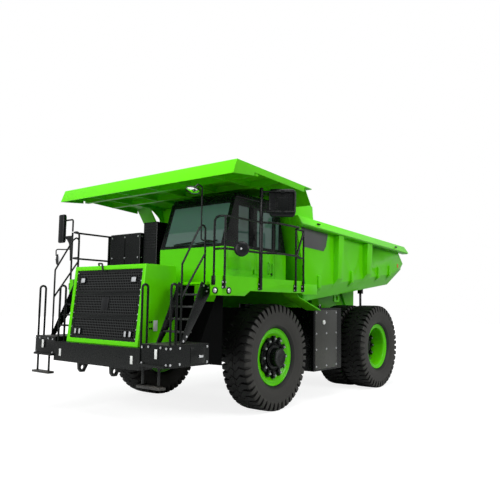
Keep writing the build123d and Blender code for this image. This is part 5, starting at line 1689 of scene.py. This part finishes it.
@dataclass
class Cab:
    """Wipers and the door's pull and lock."""

    bench: Bench
    sill: float = 3.062
    front: float = -1.445
    roof_front: float = -1.150
    roof_z: float = 3.995
    arms: tuple[Span, ...] = ((0.32, 0.86), (0.92, 1.46))
    blades: tuple[float, ...] = (0.70, 1.28)
    door_x: float = 1.682
    lock: Profile = ((1.686, 0.0), (1.686, 0.026), (1.694, 0.026), (1.697, 0.02), (1.697, 0.0))

    def screen(self, x: float, up: float, out: float) -> Point:
        """A point on the leaning windscreen.

        Args:
            x: across the truck.
            up: metres above the sill, along the slope.
            out: metres in front of the glass.

        Returns:
            The point.
        """
        lean = Vector((0.0, self.roof_front - self.front, self.roof_z - self.sill)).normalized()
        ahead = Vector((0.0, -lean.z, lean.y))
        return tuple(Vector((x, self.front, self.sill)) + up * lean + out * ahead)

    def build(self) -> None:
        """Adds the fittings."""
        arms = [[self.screen(start, 0.03, 0.03), self.screen(end, 0.085, 0.03)] for start, end in self.arms]
        self.bench.tubes("wiper_arms", arms, 0.009, 0.01, 8, slot="dark_plastic", finish=Finish.PLASTIC)
        blades = [[self.screen(x - 0.30, 0.075, 0.018), self.screen(x + 0.22, 0.115, 0.018)] for x in self.blades]
        self.bench.tubes("wiper_blades", blades, 0.011, 0.01, 6, slot="dark_plastic", finish=Finish.PLASTIC)
        x, out, y = self.door_x, self.door_x + 0.038, -0.13
        self.bench.tubes("door_pull", [[(x, y, 2.62), (out, y, 2.62), (out, y, 2.84), (x, y, 2.84)]], 0.009, 0.02, 10,
                         body="cab_door", slot="green_paint", finish=Finish.GREEN)
        lock = Form().turned(self.lock, 20, Along.X, (0.0, -0.02, 2.62))
        self.bench.piece("door_lock", lock, "cab_door", "dark_plastic", Finish.PLASTIC)


@dataclass
class Trim:
    """The hood's pull and pins, the dump body's blank plates, and the bolts of the tanks and cabinets."""

    bench: Bench
    hood_side: float = 0.996
    hood_top: float = 2.690
    body_side: float = 1.960
    blank: Profile = ((0.70, 3.22), (0.62, 3.62), (1.68, 3.58), (1.60, 3.30), (1.50, 3.19))
    cover_x: float = 1.790
    cap: Profile = ((1.790, 0.0), (1.790, 0.05), (1.806, 0.05), (1.812, 0.042), (1.812, 0.0))
    cabinet_x: float = -0.56
    cabinet_y: float = -1.46
    cabinet_rows: tuple[float, ...] = (2.50, 2.95, 3.38)

    def build(self) -> None:
        """Adds the trim."""
        pull = [(-0.36, -2.58, self.hood_top - 0.002), (-0.33, -2.62, self.hood_top + 0.045),
                (-0.17, -2.66, self.hood_top + 0.035), (-0.11, -2.69, self.hood_top - 0.10)]
        plate = Form().prism(self.blank, Along.X, self.body_side + 0.0002, self.body_side + 0.006).twin()
        self.bench.piece("blank_plates", plate, "dump_body", "dark_plastic", Finish.PLATE_GREY, bevel=0.002)
        spots = [((self.cover_x, y, z), (1.0, 0.0, 0.0)) for y in (1.50, 1.92, 2.34) for z in (0.72, 1.08, 1.42, 1.87)]
        self.bench.bolts("tank_bolts", mirrored_spots(spots), 0.016, 0.012)
        cap = Form().turned(self.cap, 24, Along.X, (0.0, 1.80, 1.66))
        self.bench.piece("tank_cap", cap, slot="lamp_lens", finish=Finish.WHITE)
        cabinet = [((x, self.cabinet_y, z), (0.0, -1.0, 0.0)) for x in (-1.44, -1.03, -0.62) for z in self.cabinet_rows]
        cabinet += [((self.cabinet_x, y, z), (1.0, 0.0, 0.0)) for y in (-1.40, -1.18, -0.96) for z in self.cabinet_rows]
        self.bench.bolts("cabinet_bolts", cabinet, 0.013, 0.010)
        self.bench.tubes("hood_pull", [pull], 0.016, 0.03, 10)
        pins = [((self.hood_side, y, z), (1.0, 0.0, 0.0)) for y in (-2.53, -2.49) for z in (1.60, 1.71)]
        self.bench.bolts("hood_side_pins", pins, 0.012, 0.01, Finish.BLACK)


@dataclass(frozen=True)
class Block:
    """A piece made of plain boxes.

    Each box is x0, x1, y0, y1, z0 and z1, and a twin adds the boxes' mirror images.
    """

    name: str
    boxes: tuple[Box, ...]
    finish: Finish = Finish.BLACK
    slot: str = "black_paint"
    body: str = "chassis"
    bevel: float = 0.004
    twin: bool = True


@dataclass
class Blocks:
    """Covers, hatches, reflectors, slats and the other small pieces that are plain boxes."""

    bench: Bench
    blocks: tuple[Block, ...] = (
        Block("bumper_reflectors",
              ((0.97, 1.03, -2.904, -2.899, 1.04, 1.17), (1.545, 1.605, -2.904, -2.899, 1.16, 1.31)),
              Finish.WHITE, "lamp_lens", bevel=0.002),
        Block("body_markers", ((1.96, 1.966, 5.30, 5.38, 3.06, 3.16),), Finish.AMBER, "lamp_lens", "dump_body", 0.002),
        Block("step_plates", ((1.215, 1.845, -2.885, -2.0, 1.378, 1.382),), Finish.PLATE, bevel=0.0),
        Block("step_hatches", ((1.8602, 1.866, -2.42, -2.08, 1.07, 1.33),)),
        Block("step_latches", ((1.866, 1.885, -2.24, -2.14, 1.16, 1.20),), Finish.STEEL),
        Block("mirror_post", ((2.124, 2.176, -1.006, -0.954, 3.50, 4.13),), bevel=0.005, twin=False),
        Block("pillar_vents", tuple((1.680, 1.688, y, y + 0.008, 3.12, 3.88) for y in spaced(-0.70, -0.610, 6)),
              Finish.PLASTIC, bevel=0.002, twin=False),
        Block("cab_side_panel", ((1.6802, 1.686, -1.33, -0.66, 2.66, 3.0),), Finish.GREEN, "green_paint", twin=False),
        Block("door_panel", ((1.6802, 1.686, -0.50, 0.03, 2.58, 3.0),), Finish.GREEN, "green_paint", "cab_door",
              twin=False),
        Block("roof_visor", ((0.20, 1.50, -1.13, -1.09, 3.93, 3.99),), Finish.PLASTIC, "dark_plastic", bevel=0.01,
              twin=False),
        # Painted shade: near-black patches on the rail stand in for the shaded insides of its slots.
        Block("rail_slot_shade", ((2.10, 2.131, 1.00, 1.10, 3.70, 3.725), (2.10, 2.131, 4.85, 4.95, 3.56, 3.585)),
              Finish.LINER_AND_SHADE, body="dump_body", bevel=0.002),
        Block("tank_covers", ((1.7802, 1.790, 1.46, 2.38, 0.66, 1.93),), Finish.COVER),
        Block("cleaner_slats", tuple((-0.50, -0.16, -1.408, -1.400, z, z + 0.025) for z in spaced(3.12, 3.56, 9)),
              Finish.PLASTIC, bevel=0.003, twin=False),
        Block("cabinet_seam", ((-1.036, -1.024, -1.464, -1.460, 2.42, 3.43),), Finish.LINER_AND_SHADE, bevel=0.0, twin=False),
        Block("hood_side_plate", ((0.9962, 1.001, -2.445, -2.355, 1.555, 1.735),), Finish.WHITE, "lamp_lens",
              bevel=0.001, twin=False),
        Block("nose_brackets", ((1.895, 1.985, -2.006, -1.950, 2.345, 2.500),)),
        Block("deck_rear_boxes", ((1.995, 2.128, 0.425, 0.98, 2.235, 2.448),), Finish.GREEN, "green_paint",
              bevel=0.010),
    )

    def build(self) -> None:
        """Adds them."""
        for block in self.blocks:
            form = Form()
            for x0, x1, y0, y1, z0, z1 in block.boxes:
                form.box((x0, x1), (y0, y1), (z0, z1))
            if block.twin:
                form.twin()
            self.bench.piece(block.name, form, block.body, block.slot, block.finish, bevel=block.bevel)


@dataclass
class PlainPieces:
    """The model's own pieces that keep their shape and get rounded edges or a finish."""

    bench: Bench
    soft: tuple[tuple[str, str, str, Finish, float], ...] = (
        ("hood", "chassis", "green_paint", Finish.GREEN, 0.010),
        ("bumper", "chassis", "black_paint", Finish.BLACK, 0.010),
        ("deck_left", "chassis", "green_paint", Finish.GREEN, 0.005),
        ("deck_right", "chassis", "green_paint", Finish.GREEN, 0.005),
        ("cab_body", "chassis", "green_paint", Finish.GREEN, 0.008),
        ("cab_frame", "chassis", "black_paint", Finish.BLACK, 0.012),
        ("cab_side_frames", "chassis", "black_paint", Finish.BLACK, 0.010),
        ("cab_roof", "chassis", "black_paint", Finish.BLACK, 0.020),
        ("cab_seat", "chassis", "seat_fabric", Finish.CLOTH, 0.05),
        ("cab_console", "chassis", "dark_plastic", Finish.PLASTIC, 0.008),
        ("deck_cabinets", "chassis", "black_paint", Finish.BLACK, 0.012),
        ("side_tanks", "chassis", "black_paint", Finish.BLACK, 0.014),
        ("inner_fenders", "chassis", "black_paint", Finish.LINER_AND_SHADE, 0.004),
        ("body_sides", "dump_body", "green_paint", Finish.GREEN, 0.008),
        ("body_headboard", "dump_body", "green_paint", Finish.GREEN, 0.005),
        ("body_canopy", "dump_body", "green_paint", Finish.GREEN, 0.004),
        ("body_floor", "dump_body", "green_paint", Finish.GREEN, 0.005),
        ("frame", "chassis", "frame_grey", Finish.GREY, 0.006),
    )
    plain: tuple[tuple[str, Finish], ...] = (
        ("engine", Finish.CAST), ("transmission", Finish.CAST), ("rear_axle", Finish.CAST),
        ("suspension_struts", Finish.BLACK), ("steering_cylinder", Finish.BLACK), ("steering_rod", Finish.CHROME),
        ("cab_glass", Finish.GLASS), ("door_glass", Finish.GLASS), ("knuckle_left", Finish.CAST),
        ("knuckle_right", Finish.CAST), ("rock_ejectors", Finish.BLACK), ("hoist_barrels", Finish.BLACK),
        ("hoist_stages", Finish.CHROME), ("hoist_rods", Finish.CHROME),
    )

    def build(self) -> None:
        """Dresses them."""
        self.bench.banded("cab_door", "cab_door", 3.058, ("green_paint", Finish.GREEN), ("black_paint", Finish.BLACK),
                          0.006)
        for node, body, slot, finish, width in self.soft:
            self.bench.softened(node, body, slot, finish, width)
        for node, finish in self.plain:
            self.bench.painted(node, finish)


def main() -> None:
    """Builds the truck's looks and its studio."""
    logging.basicConfig(level=logging.INFO, format="%(name)s %(message)s")
    bench = Bench(frame["nodes"])
    Studio().build()
    for kind in (Wheels, Grille, Lamps, Ladders, Rails, Mirrors, Cab, Blocks, Trim, PlainPieces):
        kind(bench).build()
        LOG.info("%s done, %d pieces so far", kind.__name__, len(bench.made))


if __name__ == "__main__":
    main()
